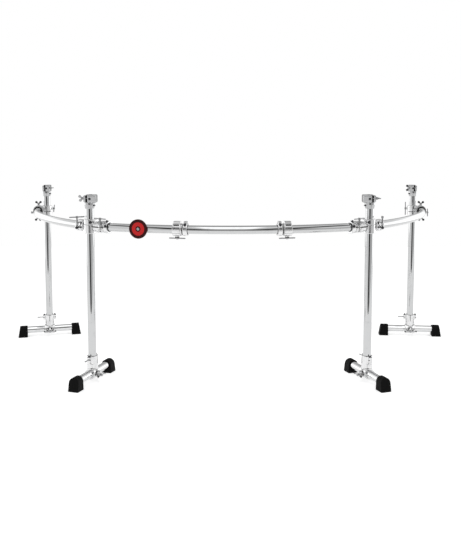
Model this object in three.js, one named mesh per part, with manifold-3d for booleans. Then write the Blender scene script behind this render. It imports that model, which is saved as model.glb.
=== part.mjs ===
// A curved drum rack frame: a bowed front rail between two inner legs, two bowed wing rails that
// sweep back to two outer legs, and the clamps, bolts, tube clamps and T feet that hold it together.
// Millimetres, +Z up, the floor at z = 0 and the drummer behind the front rail, towards +Y.
import * as THREE from "three";
import { mergeVertices } from "three/addons/utils/BufferGeometryUtils.js";
import Module from "manifold-3d";

const wasm = await Module();
wasm.setup();

// Driving sizes of the whole rack
const tubeDiameter = 38.1;
const tubeWall = 2;
const railRadius = 1420; // the bow of all three rails
const innerLegSpacing = 1294; // between the axes of the inner legs
const wingChord = 945; // from an inner leg's axis to the rail point beside the outer leg
const wingHeadingShare = 0.6811; // of a right angle: how far the wing's chord turns back from +X
const legTopHeight = 846; // top end of a leg tube
const railDrop = 111; // from the legs' top ends down to the rails' axis
const footTubeHeight = 39; // foot tube axis above the floor
const footLength = 355; // end to end of the two boots on the floor

// Clearances, and how finely round things are cut
const tubeGap = 0.5; // tube to the bore that grips it
const slideGap = 0.8; // bowed rail to a short straight bore that slides along it
const seatGap = 0.3; // between faces that touch on the real rack
const boltGap = 0.6; // bolt shank to its hole
const cutOverrun = 5; // how far a cutting tool runs past the face it opens
const tubeSides = 16;
const boltSides = 8;
const frontRailSteps = 20;
const wingRailSteps = 13;
const mergeShare = 1e-7; // of the leg spacing: vertices closer than this are one

// Clamp castings that grip a rail or a leg
const ringRadius = 28;
const halfRingHeight = 33; // from the rail's axis to the far end of each ring on an inner leg
const ringJoint = 8; // above the rail's axis: the front clamp's ring sits on the wing clamp's ring
const sleeveStart = 31; // from the leg axis to the sleeve's blind end
const sleeveFloor = 5;
const sleeveNeckRadius = 24;
const sleeveCollarRadius = 29.5;
const sleeveGroove = 3;
const frontSleeve = { grip: 50, groove: 87, end: 105, bolt: 75 }; // stations along the rail
const wingSleeve = { grip: 41, end: 80, bolt: 64 };
const splitWidth = 3;
const neckWidth = 28;
const neckStart = 14;
const bossRadius = 9;
const bossSeat = 34; // from the gripped axis to the face that the bolt's hub sits on
const earOffset = 27; // bolt axis in front of the rail's axis
const earTop = 12;
const earBottom = -14;

// Bolts with a cross bar, and the smaller butterfly bolts
const barLength = 76;
const footBarLength = 62;
const barRadius = 2.8;
const barStandoff = 5.5; // cross bar axis above the seat
const longBarStandoff = 27.5; // on the ears of the inner clamps
const hubRadius = 6.5;
const hubHeight = 9.5;
const shankRadius = 4;
const shankDepth = 11.5; // into the boss
const longShankDepth = 22; // through the upper ear and into the lower one
const wingSpan = 38;
const wingHeight = 21;
const wingThickness = 4.5;

// Outer clamp: a leg ring and a rail ring cast side by side
const crossOffset = 47; // between the leg's axis and the rail's axis
const crossRingHeight = 54;
const crossWebWidth = 40;
const railTail = 13; // rail end past the outer clamp
const outerBoltRise = 10;

// Multi-clamps and memory locks on the front rail
const multiClampX = { left: 233, right: 256 };
const memoryLockX = { left: 195, right: 221 };
const slideRingRadius = 29;
const multiClampWidth = 36;
const memoryLockWidth = 20;
const lugHeight = 37; // above the rail axis
const lugDepth = 26;
const multiLugWidth = 30;
const memoryLugWidth = 14;
const coverSlotRise = 22;
const coverSlotHeight = 4;
const coverSlotWidth = 26;
const postOffset = 48; // rail axis to the axis of the post socket behind it
const postDiameter = 25.4;
const postWall = 6;
const postSocketHeight = 40;

// Tube clamp on top of each leg
const collarFootRadius = 21;
const collarRadius = 25.5;
const collarTaper = 12;
const collarHeight = 29; // the leg tube ends at this height inside the collar
const headHeight = 64.5;
const headBlockBottom = 27;
const headSides = { inner: { body: 34, jaw: 26, slot: 8 }, outer: { body: 24, jaw: 20, slot: 2 } };
const headSlotWidth = 5.5;
const headFront = 27;
const headBack = 24;
const headBoreRadius = 14.3;
const jawPinY = 20;
const knuckleRadius = 5;
const knuckleBottom = 39;
const knuckleTop = 52;
const headBoltY = -19.5;
const headBoltHeight = 48;
const headShankRadius = 3.5;
const headShankStop = 0.5; // backed out: the shank's end stays in the slot, clear of the far half

// T foot: a tee casting, a cross tube and two rubber boots
const teeSleeveRadius = 26;
const teeSleeveTop = 84; // above the foot tube's axis
const teeSleeveFloor = 30;
const teeRingRadius = 27;
const teeRingLength = 56;
const teeWebTop = 46;
const teeLugReach = 33;
const teeLugBottom = 58;
const teeLugTop = 80;
const teeLugWidth = 16;
const teeBoltDrop = 6; // bolt axis below the foot tube's axis
const teeBoltSeat = 42;
const teeSplitRise = 7;
const bootLength = 52.6;
const bootTopLength = 42;
const bootArchRadius = 25;
const bootHalfWidth = 26;
const bootArchSteps = 8;
const bootBoreGap = 0.3;
const bootEndWall = 6; // rubber past the end of the foot tube
const innerFootYawShare = 0.7833; // of a right angle, turned inward from across to in line
const outerFootYawShare = { left: 0.1667, right: 0.0611 };

// Round badge on the front rail
const badgeX = -403;
const badgeDiameter = 87;
const badgeThickness = 5;
const badgeSides = 32;
const badgeRim = 3;
const badgeRimDepth = 1;
const badgeSaddleWidth = 26;
const badgeSaddleHeight = 46;
const badgeSaddleDepth = 14;

const rightAngle = Math.PI / 2;
const tubeRadius = tubeDiameter / 2;
const boreRadius = tubeRadius + tubeGap;
const innerLegX = innerLegSpacing / 2;
const railHeight = legTopHeight - railDrop; // rail axis above the floor
const collarBottom = legTopHeight - collarHeight;
const mergeTolerance = innerLegSpacing * mergeShare;

const chrome = new THREE.MeshStandardMaterial({ color: 0xd8dbde, metalness: 1, roughness: 0.08 });
const cast = new THREE.MeshStandardMaterial({ color: 0xe3e4e2, metalness: 1, roughness: 0.16 });
const steel = new THREE.MeshStandardMaterial({ color: 0x9a9c9e, metalness: 1, roughness: 0.25 });
const rubber = new THREE.MeshStandardMaterial({ color: 0x161616, metalness: 0, roughness: 0.7 });
const enamel = new THREE.MeshStandardMaterial({ color: 0x6d1418, metalness: 0.1, roughness: 0.35 });

// Solids

// A closed geometry as a solid that can be joined and cut, turned right side out.
function solid(geometry) {
  const bare = geometry.clone();
  bare.deleteAttribute("normal");
  bare.deleteAttribute("uv");
  const merged = mergeVertices(bare, mergeTolerance);
  const vertProperties = merged.attributes.position.array;
  const triVerts = new Uint32Array(merged.index.array);
  const made = new wasm.Manifold(new wasm.Mesh({ numProp: 3, vertProperties, triVerts }));
  if (made.volume() > 0) return made;
  triVerts.reverse();
  return new wasm.Manifold(new wasm.Mesh({ numProp: 3, vertProperties, triVerts }));
}

const axisTurn = {
  x: new THREE.Matrix4().makeRotationY(rightAngle),
  y: new THREE.Matrix4().makeRotationX(-rightAngle),
  z: new THREE.Matrix4(),
};

// A cylinder or cone from one place to another along an axis.
function rod({ radius, endRadius = radius, from, to, axis = "z", at = [0, 0, 0], sides = tubeSides }) {
  const geometry = new THREE.CylinderGeometry(endRadius, radius, to - from, sides);
  geometry.rotateX(rightAngle);
  geometry.translate(0, 0, (from + to) / 2);
  geometry.applyMatrix4(axisTurn[axis]);
  geometry.translate(...at);
  return solid(geometry);
}

// A block between two corners.
function block([x0, x1], [y0, y1], [z0, z1]) {
  const geometry = new THREE.BoxGeometry(x1 - x0, y1 - y0, z1 - z0);
  geometry.translate((x0 + x1) / 2, (y0 + y1) / 2, (z0 + z1) / 2);
  return solid(geometry);
}

// A flat outline with a thickness: it lies in x and z, and its thickness is centred on y.
function plate(points, thickness) {
  const shape = new THREE.Shape(points.map(([x, z]) => new THREE.Vector2(x, z)));
  const geometry = new THREE.ExtrudeGeometry(shape, { depth: thickness, bevelEnabled: false });
  geometry.translate(0, 0, -thickness / 2);
  geometry.rotateX(rightAngle);
  return solid(geometry);
}

function join(...solids) {
  return solids.reduce((whole, next) => whole.add(next));
}

function cut(whole, ...tools) {
  return tools.reduce((left, tool) => left.subtract(tool), whole);
}

function mesh(name, shape, material) {
  const { numProp, vertProperties, triVerts } = shape.getMesh();
  const indexed = new THREE.BufferGeometry();
  indexed.setAttribute("position", new THREE.BufferAttribute(vertProperties, numProp));
  indexed.setIndex(new THREE.BufferAttribute(triVerts, 1));
  const geometry = indexed.toNonIndexed();
  geometry.computeVertexNormals();
  const made = new THREE.Mesh(geometry, material);
  made.name = name;
  return made;
}

// A group at a place, turned about the vertical, that holds meshes or groups.
function place([x, y, z], turn, ...children) {
  const group = new THREE.Group();
  group.position.set(x, y, z);
  group.rotation.z = turn;
  group.add(...children);
  return group;
}

// Rails

// An arc of the rail's bow in a horizontal plane, given by its centre and its two angles.
class Bow extends THREE.Curve {
  constructor(centre, startAngle, endAngle) {
    super();
    Object.assign(this, { centre, startAngle, endAngle });
  }

  getPoint(share) {
    const angle = this.startAngle + share * (this.endAngle - this.startAngle);
    const x = this.centre.x + railRadius * Math.cos(angle);
    const y = this.centre.y + railRadius * Math.sin(angle);
    return new THREE.Vector3(x, y, railHeight);
  }
}

function circle(radius) {
  const corners = Array.from({ length: tubeSides }, (_, i) => (i * 4 * rightAngle) / tubeSides);
  return corners.map((angle) => new THREE.Vector2(radius * Math.cos(angle), radius * Math.sin(angle)));
}

function bowedBar(bow, radius, steps) {
  const options = { steps, extrudePath: bow, bevelEnabled: false };
  return solid(new THREE.ExtrudeGeometry(new THREE.Shape(circle(radius)), options));
}

function bowedTube(bow, steps) {
  const longer = (bow.endAngle - bow.startAngle) / steps;
  const core = new Bow(bow.centre, bow.startAngle - longer, bow.endAngle + longer);
  return cut(bowedBar(bow, tubeRadius, steps), bowedBar(core, tubeRadius - tubeWall, steps + 2));
}

// The front rail's bow: its centre lies behind the rack, on the middle line.
const frontCentre = new THREE.Vector2(0, Math.sqrt(railRadius ** 2 - innerLegX ** 2));
const frontHalfAngle = Math.asin(innerLegX / railRadius);
const railEndGap = sleeveStart + sleeveFloor + seatGap; // from a leg's axis to the end of a rail
const frontEndAngle = frontHalfAngle - railEndGap / railRadius;
const frontBow = new Bow(frontCentre, -rightAngle - frontEndAngle, -rightAngle + frontEndAngle);

function frontPoint(angleFromMiddle) {
  const x = railRadius * Math.sin(angleFromMiddle);
  return new THREE.Vector2(x, frontCentre.y - railRadius * Math.cos(angleFromMiddle));
}

// The right wing's bow: from the inner leg's axis, bulging outward, past the outer leg.
const wingHeading = wingHeadingShare * rightAngle;
const wingHalfAngle = Math.asin(wingChord / 2 / railRadius);
const wingCentre = new THREE.Vector2(
  innerLegX + railRadius * Math.cos(wingHeading + rightAngle - wingHalfAngle),
  railRadius * Math.sin(wingHeading + rightAngle - wingHalfAngle),
);
const wingLegAngle = wingHeading - rightAngle - wingHalfAngle;
const wingCrossAngle = wingHeading - rightAngle + wingHalfAngle;
const wingEndAngle = wingCrossAngle + (crossRingHeight / 2 + railTail) / railRadius;
const wingBow = new Bow(wingCentre, wingLegAngle + railEndGap / railRadius, wingEndAngle);

const crossHeading = wingCrossAngle; // from the leg out to the rail, square to the rail
const crossPoint = wingBow.getPoint(
  (wingCrossAngle - wingBow.startAngle) / (wingEndAngle - wingBow.startAngle),
);
const outerLeg = new THREE.Vector2(
  crossPoint.x - crossOffset * Math.cos(crossHeading),
  crossPoint.y - crossOffset * Math.sin(crossHeading),
);

// Bolts: local z points out of the boss, and z = 0 is the seat

function barBolt({ length = barLength, standoff = barStandoff, depth = shankDepth } = {}) {
  const [from, to] = [standoff - hubHeight / 2, standoff + hubHeight / 2];
  const bar = { radius: barRadius, from: -length / 2, to: length / 2, axis: "x", at: [0, 0, standoff] };
  return join(
    rod({ radius: shankRadius, from: -depth, to: standoff, sides: boltSides }),
    rod({ radius: hubRadius, from, to, sides: boltSides }),
    rod({ ...bar, sides: boltSides }),
  );
}

// Half outline of the butterfly head, as shares of half its span and of its height.
const butterflyShares = [
  [0.3, 0],
  [0.45, 0.3],
  [1, 0.62],
  [0.92, 1],
  [0.6, 0.96],
  [0.34, 0.52],
];

function butterflyBolt(shaft, depth) {
  const right = butterflyShares.map(([x, z]) => [(x * wingSpan) / 2, z * wingHeight + seatGap]);
  const left = right.map(([x, z]) => [-x, z]).reverse();
  return join(
    plate([...right, ...left], wingThickness),
    rod({ radius: hubRadius, from: seatGap, to: hubHeight, sides: boltSides }),
    rod({ radius: shaft, from: -depth, to: hubHeight / 2, sides: boltSides }),
  );
}

// The hole that a bolt's shank goes into: local z as on the bolt.
function shankHole(seat, axis, at = [0, 0, 0]) {
  return rod({
    radius: shankRadius + boltGap,
    from: seat - shankDepth - seatGap,
    to: seat + cutOverrun,
    axis,
    at,
    sides: boltSides,
  });
}

// Inner clamps: half a ring on the leg and a sleeve on the rail; local x runs out along the rail

// ring is its span in z, earSide is 1 or -1 in y, and bore is the rail's cutting tool.
function stackedClamp({ ring, web, sections, grip, bolt, earSide, bore }) {
  const sleeve = sections.map(([from, to, radius]) => rod({ radius, from, to, axis: "x" }));
  const ear = [bolt, earSide * earOffset, 0];
  const earEdge = earSide * (earOffset + bossRadius + cutOverrun);
  const body = join(
    rod({ radius: ringRadius, from: ring[0], to: ring[1] }),
    block([neckStart, sleeveStart + sleeveFloor], [-neckWidth / 2, neckWidth / 2], web),
    ...sleeve,
    rod({ radius: bossRadius, from: earBottom, to: earTop, at: ear }),
  );
  return cut(
    body,
    rod({ radius: boreRadius, from: -halfRingHeight - cutOverrun, to: halfRingHeight + cutOverrun }),
    bore,
    block(grip, [Math.min(0, earEdge), Math.max(0, earEdge)], [-splitWidth / 2, splitWidth / 2]),
    rod({
      radius: shankRadius + boltGap,
      from: earTop - longShankDepth - seatGap,
      to: earTop + cutOverrun,
      at: ear,
      sides: boltSides,
    }),
  );
}

// The front clamp's mouth is closed by a collar; the wing clamp's ends with its grip.
const frontSections = [
  [sleeveStart, frontSleeve.grip, sleeveNeckRadius],
  [frontSleeve.grip, frontSleeve.groove, ringRadius],
  [frontSleeve.groove, frontSleeve.groove + sleeveGroove, sleeveNeckRadius],
  [frontSleeve.groove + sleeveGroove, frontSleeve.end, sleeveCollarRadius],
];
const wingSections = [
  [sleeveStart, wingSleeve.grip, sleeveNeckRadius],
  [wingSleeve.grip, wingSleeve.end, ringRadius],
];

// A rail's cutting tool in the frame of a clamp that sits on it.
function railBore(bow, steps, radius, frame) {
  const options = { steps, extrudePath: bow, bevelEnabled: false };
  const geometry = new THREE.ExtrudeGeometry(new THREE.Shape(circle(radius)), options);
  geometry.applyMatrix4(frame.clone().invert());
  return solid(geometry);
}

function frameAt([x, y, z], turn) {
  return new THREE.Matrix4().makeRotationZ(turn).setPosition(x, y, z);
}

// A sleeve follows the chord of its stretch of the bow.
const frontClampTurn = 2 * rightAngle + frontHalfAngle - frontSleeve.end / 2 / railRadius;
const wingClampTurn = wingLegAngle + rightAngle + wingSleeve.end / 2 / railRadius;
const innerClampPlace = [innerLegX, 0, railHeight];
const outerClampPlace = [outerLeg.x, outerLeg.y, railHeight];

function frontClamp(name) {
  const shape = stackedClamp({
    ring: [ringJoint + seatGap / 2, halfRingHeight],
    web: [ringJoint + splitWidth, halfRingHeight - splitWidth],
    sections: frontSections,
    grip: [frontSleeve.grip, frontSleeve.groove],
    bolt: frontSleeve.bolt,
    earSide: 1,
    bore: railBore(frontBow, frontRailSteps, boreRadius, frameAt(innerClampPlace, frontClampTurn)),
  });
  return mesh(name, shape, cast);
}

function wingClamp(name) {
  const shape = stackedClamp({
    ring: [-halfRingHeight, ringJoint - seatGap / 2],
    web: [splitWidth - halfRingHeight, ringJoint - splitWidth],
    sections: wingSections,
    grip: [wingSleeve.grip, wingSleeve.end + cutOverrun],
    bolt: wingSleeve.bolt,
    earSide: -1,
    bore: railBore(wingBow, wingRailSteps, boreRadius, frameAt(innerClampPlace, wingClampTurn)),
  });
  return mesh(name, shape, cast);
}

// Outer clamp: local x runs from the leg out to the rail, and local y runs along the rail
function outerClamp(name) {
  const half = crossRingHeight / 2;
  const web = [-crossWebWidth / 2, crossWebWidth / 2];
  const bore = railBore(wingBow, wingRailSteps, boreRadius, frameAt(outerClampPlace, crossHeading));
  const body = join(
    rod({ radius: ringRadius, from: -half, to: half }),
    rod({ radius: slideRingRadius, from: -half, to: half, axis: "y", at: [crossOffset, 0, 0] }),
    block([0, crossOffset], web, web),
    rod({ radius: bossRadius, from: boreRadius + splitWidth, to: bossSeat, at: [crossOffset, 0, 0] }),
    rod({
      radius: bossRadius,
      from: -bossSeat,
      to: -boreRadius - splitWidth,
      axis: "x",
      at: [0, 0, outerBoltRise],
    }),
  );
  return mesh(
    name,
    cut(
      body,
      rod({ radius: boreRadius, from: -half - cutOverrun, to: half + cutOverrun }),
      bore,
      shankHole(bossSeat, "z", [crossOffset, 0, 0]),
      rod({
        radius: shankRadius + boltGap,
        from: -bossSeat - cutOverrun,
        to: shankDepth + seatGap - bossSeat,
        axis: "x",
        at: [0, 0, outerBoltRise],
        sides: boltSides,
      }),
    ),
    cast,
  );
}

// Multi-clamp and memory lock: local x runs along the rail, away from the middle

function slidingRing(width, lugWidth) {
  return join(
    rod({ radius: slideRingRadius, from: -width / 2, to: width / 2, axis: "x" }),
    block([-lugWidth / 2, lugWidth / 2], [-lugDepth / 2, lugDepth / 2], [0, lugHeight]),
  );
}

const slideBore = rod({
  radius: tubeRadius + slideGap,
  from: -multiClampWidth,
  to: multiClampWidth,
  axis: "x",
});

function multiClamp(name) {
  const postRadius = postDiameter / 2;
  const half = postSocketHeight / 2;
  const socket = [0, postOffset, 0];
  const body = join(
    slidingRing(multiClampWidth, multiLugWidth),
    rod({ radius: bossRadius, from: -bossSeat, to: -tubeRadius - slideGap - splitWidth }),
    rod({ radius: postRadius + postWall, from: -half, to: half, at: socket }),
    block([-multiClampWidth / 3, multiClampWidth / 3], [ringRadius / 2, postOffset], [-half / 2, half / 2]),
  );
  const coverSlot = block(
    [-coverSlotWidth / 2, coverSlotWidth / 2],
    [-slideRingRadius - cutOverrun, -lugDepth / 4],
    [coverSlotRise - coverSlotHeight / 2, coverSlotRise + coverSlotHeight / 2],
  );
  const holeDepth = shankDepth + seatGap - bossSeat;
  return mesh(
    name,
    cut(
      body,
      slideBore,
      coverSlot,
      rod({ radius: postRadius + tubeGap, from: -half - cutOverrun, to: half + cutOverrun, at: socket }),
      rod({ radius: shankRadius + boltGap, from: -bossSeat - cutOverrun, to: holeDepth, sides: boltSides }),
    ),
    cast,
  );
}

function memoryLock(name) {
  return mesh(name, cut(slidingRing(memoryLockWidth, memoryLugWidth), slideBore), cast);
}

// Legs: local z = 0 is the floor

const teeFloor = footTubeHeight + teeSleeveFloor;

function legTube(name) {
  const bottom = teeFloor + seatGap;
  const radius = tubeRadius - tubeWall;
  const outside = rod({ radius: tubeRadius, from: bottom, to: legTopHeight });
  const inside = rod({ radius, from: bottom - cutOverrun, to: legTopHeight + cutOverrun });
  return mesh(name, cut(outside, inside), chrome);
}

// How each side's bolts were left when they were tightened, in right angles.
const boltTurnShares = {
  left: { front: 0.14, wing: -0.85, outer: 0.7, multi: 0.03, innerHead: 0.4, outerHead: 1 },
  right: { front: 0.2, wing: 0.38, outer: 0.05, multi: 0.02, innerHead: 1, outerHead: 0 },
};

// Tube clamp on the leg: local z = 0 is the collar's bottom, and local x points to the jaw

const headBore = rod({ radius: headBoreRadius, from: collarHeight, to: headHeight + cutOverrun });

function headBoltHole(from, to) {
  const at = [0, headBoltY, headBoltHeight];
  return rod({ radius: headShankRadius + boltGap, from, to, axis: "x", at, sides: boltSides });
}

function headBody(name, sides, boltThroughBody) {
  const pinX = sides.slot + headSlotWidth;
  const pinLug = (from, to) =>
    join(
      rod({ radius: knuckleRadius, from, to, at: [pinX, jawPinY, 0], sides: boltSides }),
      block([0, pinX], [jawPinY - knuckleRadius, headBack], [from, to]),
    );
  const knuckleRoom = rod({
    radius: knuckleRadius + 2 * seatGap,
    from: knuckleBottom,
    to: knuckleTop,
    at: [pinX, jawPinY, 0],
  });
  const body = join(
    rod({ radius: collarFootRadius, endRadius: collarRadius, from: 0, to: collarTaper }),
    rod({ radius: collarRadius, from: collarTaper, to: collarHeight }),
    block([-sides.body, sides.slot], [-headFront, headBack], [headBlockBottom, headHeight]),
    pinLug(headBlockBottom, knuckleBottom),
    pinLug(knuckleTop, headHeight),
  );
  const legBore = rod({ radius: boreRadius, from: -cutOverrun, to: collarHeight + seatGap });
  const tools = [legBore, headBore, knuckleRoom];
  if (boltThroughBody) tools.push(headBoltHole(-sides.body - cutOverrun, sides.slot + cutOverrun));
  return mesh(name, cut(body, ...tools), cast);
}

function headJaw(name, sides, boltThroughBody) {
  const face = sides.slot + headSlotWidth;
  const low = collarHeight + 2 * seatGap;
  const body = join(
    block([face, sides.jaw], [-headFront, jawPinY - knuckleRadius - seatGap], [low, headHeight]),
    block(
      [face, face + knuckleRadius],
      [jawPinY - 2 * knuckleRadius, jawPinY],
      [knuckleBottom + seatGap, knuckleTop - seatGap],
    ),
    rod({
      radius: knuckleRadius,
      from: knuckleBottom + seatGap,
      to: knuckleTop - seatGap,
      at: [face, jawPinY, 0],
      sides: boltSides,
    }),
  );
  const tools = [rod({ radius: headBoreRadius, from: 0, to: headHeight + cutOverrun })];
  if (!boltThroughBody) tools.push(headBoltHole(face - cutOverrun, sides.jaw + cutOverrun));
  const shape = cut(body, ...tools).translate([-face, -jawPinY, 0]);
  const jaw = mesh(name, shape, cast);
  jaw.position.set(face, jawPinY, 0);
  return jaw;
}

function tubeClamp(kind, side, boltThroughBody) {
  const sides = headSides[kind];
  const gripWidth = boltThroughBody ? sides.body + sides.slot : sides.jaw - sides.slot - headSlotWidth;
  const shankLength = gripWidth + headSlotWidth - headShankStop;
  const bolt = mesh(`${kind}_head_bolt_${side}`, butterflyBolt(headShankRadius, shankLength), steel);
  bolt.position.set(boltThroughBody ? -sides.body : sides.jaw, headBoltY, headBoltHeight);
  bolt.rotation.y = boltThroughBody ? -rightAngle : rightAngle;
  bolt.rotation.z = boltTurnShares[side][`${kind}Head`] * rightAngle;
  return place(
    [0, 0, collarBottom],
    0,
    headBody(`${kind}_head_${side}`, sides, boltThroughBody),
    headJaw(`${kind}_head_jaw_${side}`, sides, boltThroughBody),
    bolt,
  );
}

// T foot: local x runs along the foot tube, and its bolt faces -y

function teeClamp(name) {
  const half = teeRingLength / 2;
  const top = teeSleeveTop;
  const lugs = [-1, 1].map((end) =>
    block(
      [Math.min(0, end * teeLugReach), Math.max(0, end * teeLugReach)],
      [-teeLugWidth / 2, teeLugWidth / 2],
      [teeLugBottom, teeLugTop],
    ),
  );
  const body = join(
    rod({ radius: teeSleeveRadius, from: 0, to: top }),
    rod({ radius: teeRingRadius, from: -half, to: half, axis: "x" }),
    plate([[-half, 0], [half, 0], [teeSleeveRadius, teeWebTop], [-teeSleeveRadius, teeWebTop]], neckWidth),
    rod({
      radius: bossRadius,
      from: -teeBoltSeat,
      to: -boreRadius - splitWidth,
      axis: "y",
      at: [0, 0, -teeBoltDrop],
    }),
    ...lugs,
  );
  return mesh(
    name,
    cut(
      body,
      rod({ radius: boreRadius, from: teeSleeveFloor, to: top + cutOverrun }),
      rod({ radius: boreRadius, from: -half - cutOverrun, to: half + cutOverrun, axis: "x" }),
      block(
        [-half - cutOverrun, half + cutOverrun],
        [-teeRingRadius - cutOverrun, -boreRadius / 2],
        [teeSplitRise, teeSplitRise + splitWidth],
      ),
      rod({
        radius: shankRadius + boltGap,
        from: -teeBoltSeat - cutOverrun,
        to: shankDepth + seatGap - teeBoltSeat,
        axis: "y",
        at: [0, 0, -teeBoltDrop],
        sides: boltSides,
      }),
    ),
    cast,
  );
}

const bootStart = footLength / 2 - bootLength;
const bootSlant = (bootLength - bootTopLength) / (footTubeHeight + bootArchRadius);
const bootFaceX = footLength / 2 - bootSlant * footTubeHeight; // outer face at the tube's height
const footTubeEnd = bootFaceX - bootEndWall;

// An arch over the tube on sides that flare to the floor, cut back by the sloping outer face.
function boot(name) {
  const archSteps = Array.from({ length: bootArchSteps + 1 }, (_, i) => (i * 2 * rightAngle) / bootArchSteps);
  const arch = archSteps.map((angle) => [
    bootArchRadius * Math.cos(angle),
    bootArchRadius * Math.sin(angle),
  ]);
  const outline = [[-bootHalfWidth, -footTubeHeight], [bootHalfWidth, -footTubeHeight], ...arch];
  const shape = new THREE.Shape(outline.map(([y, z]) => new THREE.Vector2(y, z)));
  const geometry = new THREE.ExtrudeGeometry(shape, { depth: bootLength, bevelEnabled: false });
  geometry.rotateX(rightAngle);
  geometry.rotateZ(rightAngle);
  geometry.translate(bootStart, 0, 0);
  const height = footTubeHeight + bootArchRadius + cutOverrun;
  const reach = bootLength * 2;
  const slope = new THREE.BoxGeometry(reach, reach, reach * 2);
  slope.translate(reach / 2, 0, 0);
  slope.rotateY(-Math.atan(bootSlant));
  slope.translate(footLength / 2, 0, -footTubeHeight);
  const room = { radius: tubeRadius + bootBoreGap, axis: "x" };
  const bore = rod({ ...room, from: bootStart - height, to: footTubeEnd + seatGap });
  return mesh(name, cut(solid(geometry), solid(slope), bore), rubber);
}

function footTube(name) {
  const outside = rod({ radius: tubeRadius, from: -footTubeEnd, to: footTubeEnd, axis: "x" });
  const end = footTubeEnd + cutOverrun;
  const inside = rod({ radius: tubeRadius - tubeWall, from: -end, to: end, axis: "x" });
  return mesh(name, cut(outside, inside), chrome);
}

function foot(leg, side, yaw) {
  const bolt = mesh(`${leg}_tee_bolt_${side}`, barBolt({ length: footBarLength }), steel);
  bolt.position.set(0, -teeBoltSeat, -teeBoltDrop);
  bolt.rotation.x = rightAngle;
  return place(
    [0, 0, footTubeHeight],
    yaw,
    teeClamp(`${leg}_tee_${side}`),
    bolt,
    footTube(`${leg}_foot_tube_${side}`),
    boot(`${leg}_boot_a_${side}`),
    place([0, 0, 0], 2 * rightAngle, boot(`${leg}_boot_b_${side}`)),
  );
}

function leg(kind, side, [x, y], footYaw, boltThroughBody) {
  return place(
    [x, y, 0],
    0,
    legTube(`${kind}_leg_${side}`),
    tubeClamp(kind, side, boltThroughBody),
    foot(kind, side, footYaw),
  );
}

// A bolt that stands on a clamp's boss, with its cross bar turned about its own axis.
function standing(name, shape, [x, y, z], barTurn) {
  const bolt = mesh(name, shape, steel);
  bolt.position.set(x, y, z);
  bolt.rotation.z = barTurn;
  return bolt;
}

// One half of the rack, drawn as the right half; the left half is its mirror image.
function half(side) {
  const turns = boltTurnShares[side];
  const earBolt = barBolt({ standoff: longBarStandoff, depth: longShankDepth });
  const group = new THREE.Group();
  group.scale.x = side === "left" ? -1 : 1;
  group.add(
    leg("inner", side, [innerLegX, 0], -innerFootYawShare * rightAngle, false),
    leg("outer", side, [outerLeg.x, outerLeg.y], -outerFootYawShare[side] * rightAngle, true),
    mesh(`wing_rail_${side}`, bowedTube(wingBow, wingRailSteps), chrome),
  );

  group.add(
    place(
      innerClampPlace,
      frontClampTurn,
      frontClamp(`front_clamp_${side}`),
      standing(
        `front_bolt_${side}`,
        earBolt,
        [frontSleeve.bolt, earOffset, earTop],
        turns.front * rightAngle,
      ),
    ),
    place(
      innerClampPlace,
      wingClampTurn,
      wingClamp(`wing_clamp_${side}`),
      standing(
        `wing_bolt_${side}`,
        earBolt,
        [wingSleeve.bolt, -earOffset, earTop],
        turns.wing * rightAngle,
      ),
    ),
  );

  const legBolt = mesh(`outer_leg_bolt_${side}`, barBolt(), steel);
  legBolt.rotation.set(0, -rightAngle, turns.outer * rightAngle, "YXZ");
  legBolt.position.set(-bossSeat, 0, outerBoltRise);
  const railBolt = standing(
    `outer_rail_bolt_${side}`,
    butterflyBolt(shankRadius, shankDepth),
    [crossOffset, 0, bossSeat],
    0,
  );
  group.add(place(outerClampPlace, crossHeading, outerClamp(`outer_clamp_${side}`), legBolt, railBolt));

  const multiAngle = Math.asin(multiClampX[side] / railRadius);
  const multiPoint = frontPoint(multiAngle);
  const multiBolt = mesh(`multi_clamp_bolt_${side}`, barBolt(), steel);
  multiBolt.rotation.set(2 * rightAngle, 0, turns.multi * rightAngle);
  multiBolt.position.set(0, 0, -bossSeat);
  group.add(
    place([multiPoint.x, multiPoint.y, railHeight], multiAngle, multiClamp(`multi_clamp_${side}`), multiBolt),
  );
  const lockAngle = Math.asin(memoryLockX[side] / railRadius);
  const lockPoint = frontPoint(lockAngle);
  group.add(place([lockPoint.x, lockPoint.y, railHeight], lockAngle, memoryLock(`memory_lock_${side}`)));
  return group;
}

// Badge: a disc with a shallow rimmed face, on a saddle that hugs the rail; local -y faces out
function badge() {
  const radius = badgeDiameter / 2;
  const back = -tubeRadius - seatGap;
  const face = back - badgeThickness;
  const body = join(
    rod({ radius, from: face, to: back, axis: "y", sides: badgeSides }),
    block(
      [-badgeSaddleWidth / 2, badgeSaddleWidth / 2],
      [back - badgeThickness / 2, back + badgeSaddleDepth],
      [-badgeSaddleHeight / 2, badgeSaddleHeight / 2],
    ),
  );
  const angle = Math.asin(badgeX / railRadius);
  const point = frontPoint(angle);
  const frame = frameAt([point.x, point.y, railHeight], angle);
  const made = mesh(
    "badge",
    cut(
      body,
      railBore(frontBow, frontRailSteps, boreRadius, frame),
      rod({
        radius: radius - badgeRim,
        from: face - cutOverrun,
        to: face + badgeRimDepth,
        axis: "y",
        sides: badgeSides,
      }),
    ),
    enamel,
  );
  return place([point.x, point.y, railHeight], angle, made);
}

const rack = new THREE.Group();
const frontRail = mesh("front_rail", bowedTube(frontBow, frontRailSteps), chrome);
rack.add(frontRail, badge(), half("left"), half("right"));

// The origin is on the floor, below the middle of the rack's own box.
rack.updateMatrixWorld(true);
const box = new THREE.Box3().setFromObject(rack, true);
rack.position.set(-(box.min.x + box.max.x) / 2, -(box.min.y + box.max.y) / 2, -box.min.z);

export default rack;
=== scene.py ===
import math

import bpy
from mathutils import Matrix, Vector


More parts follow.
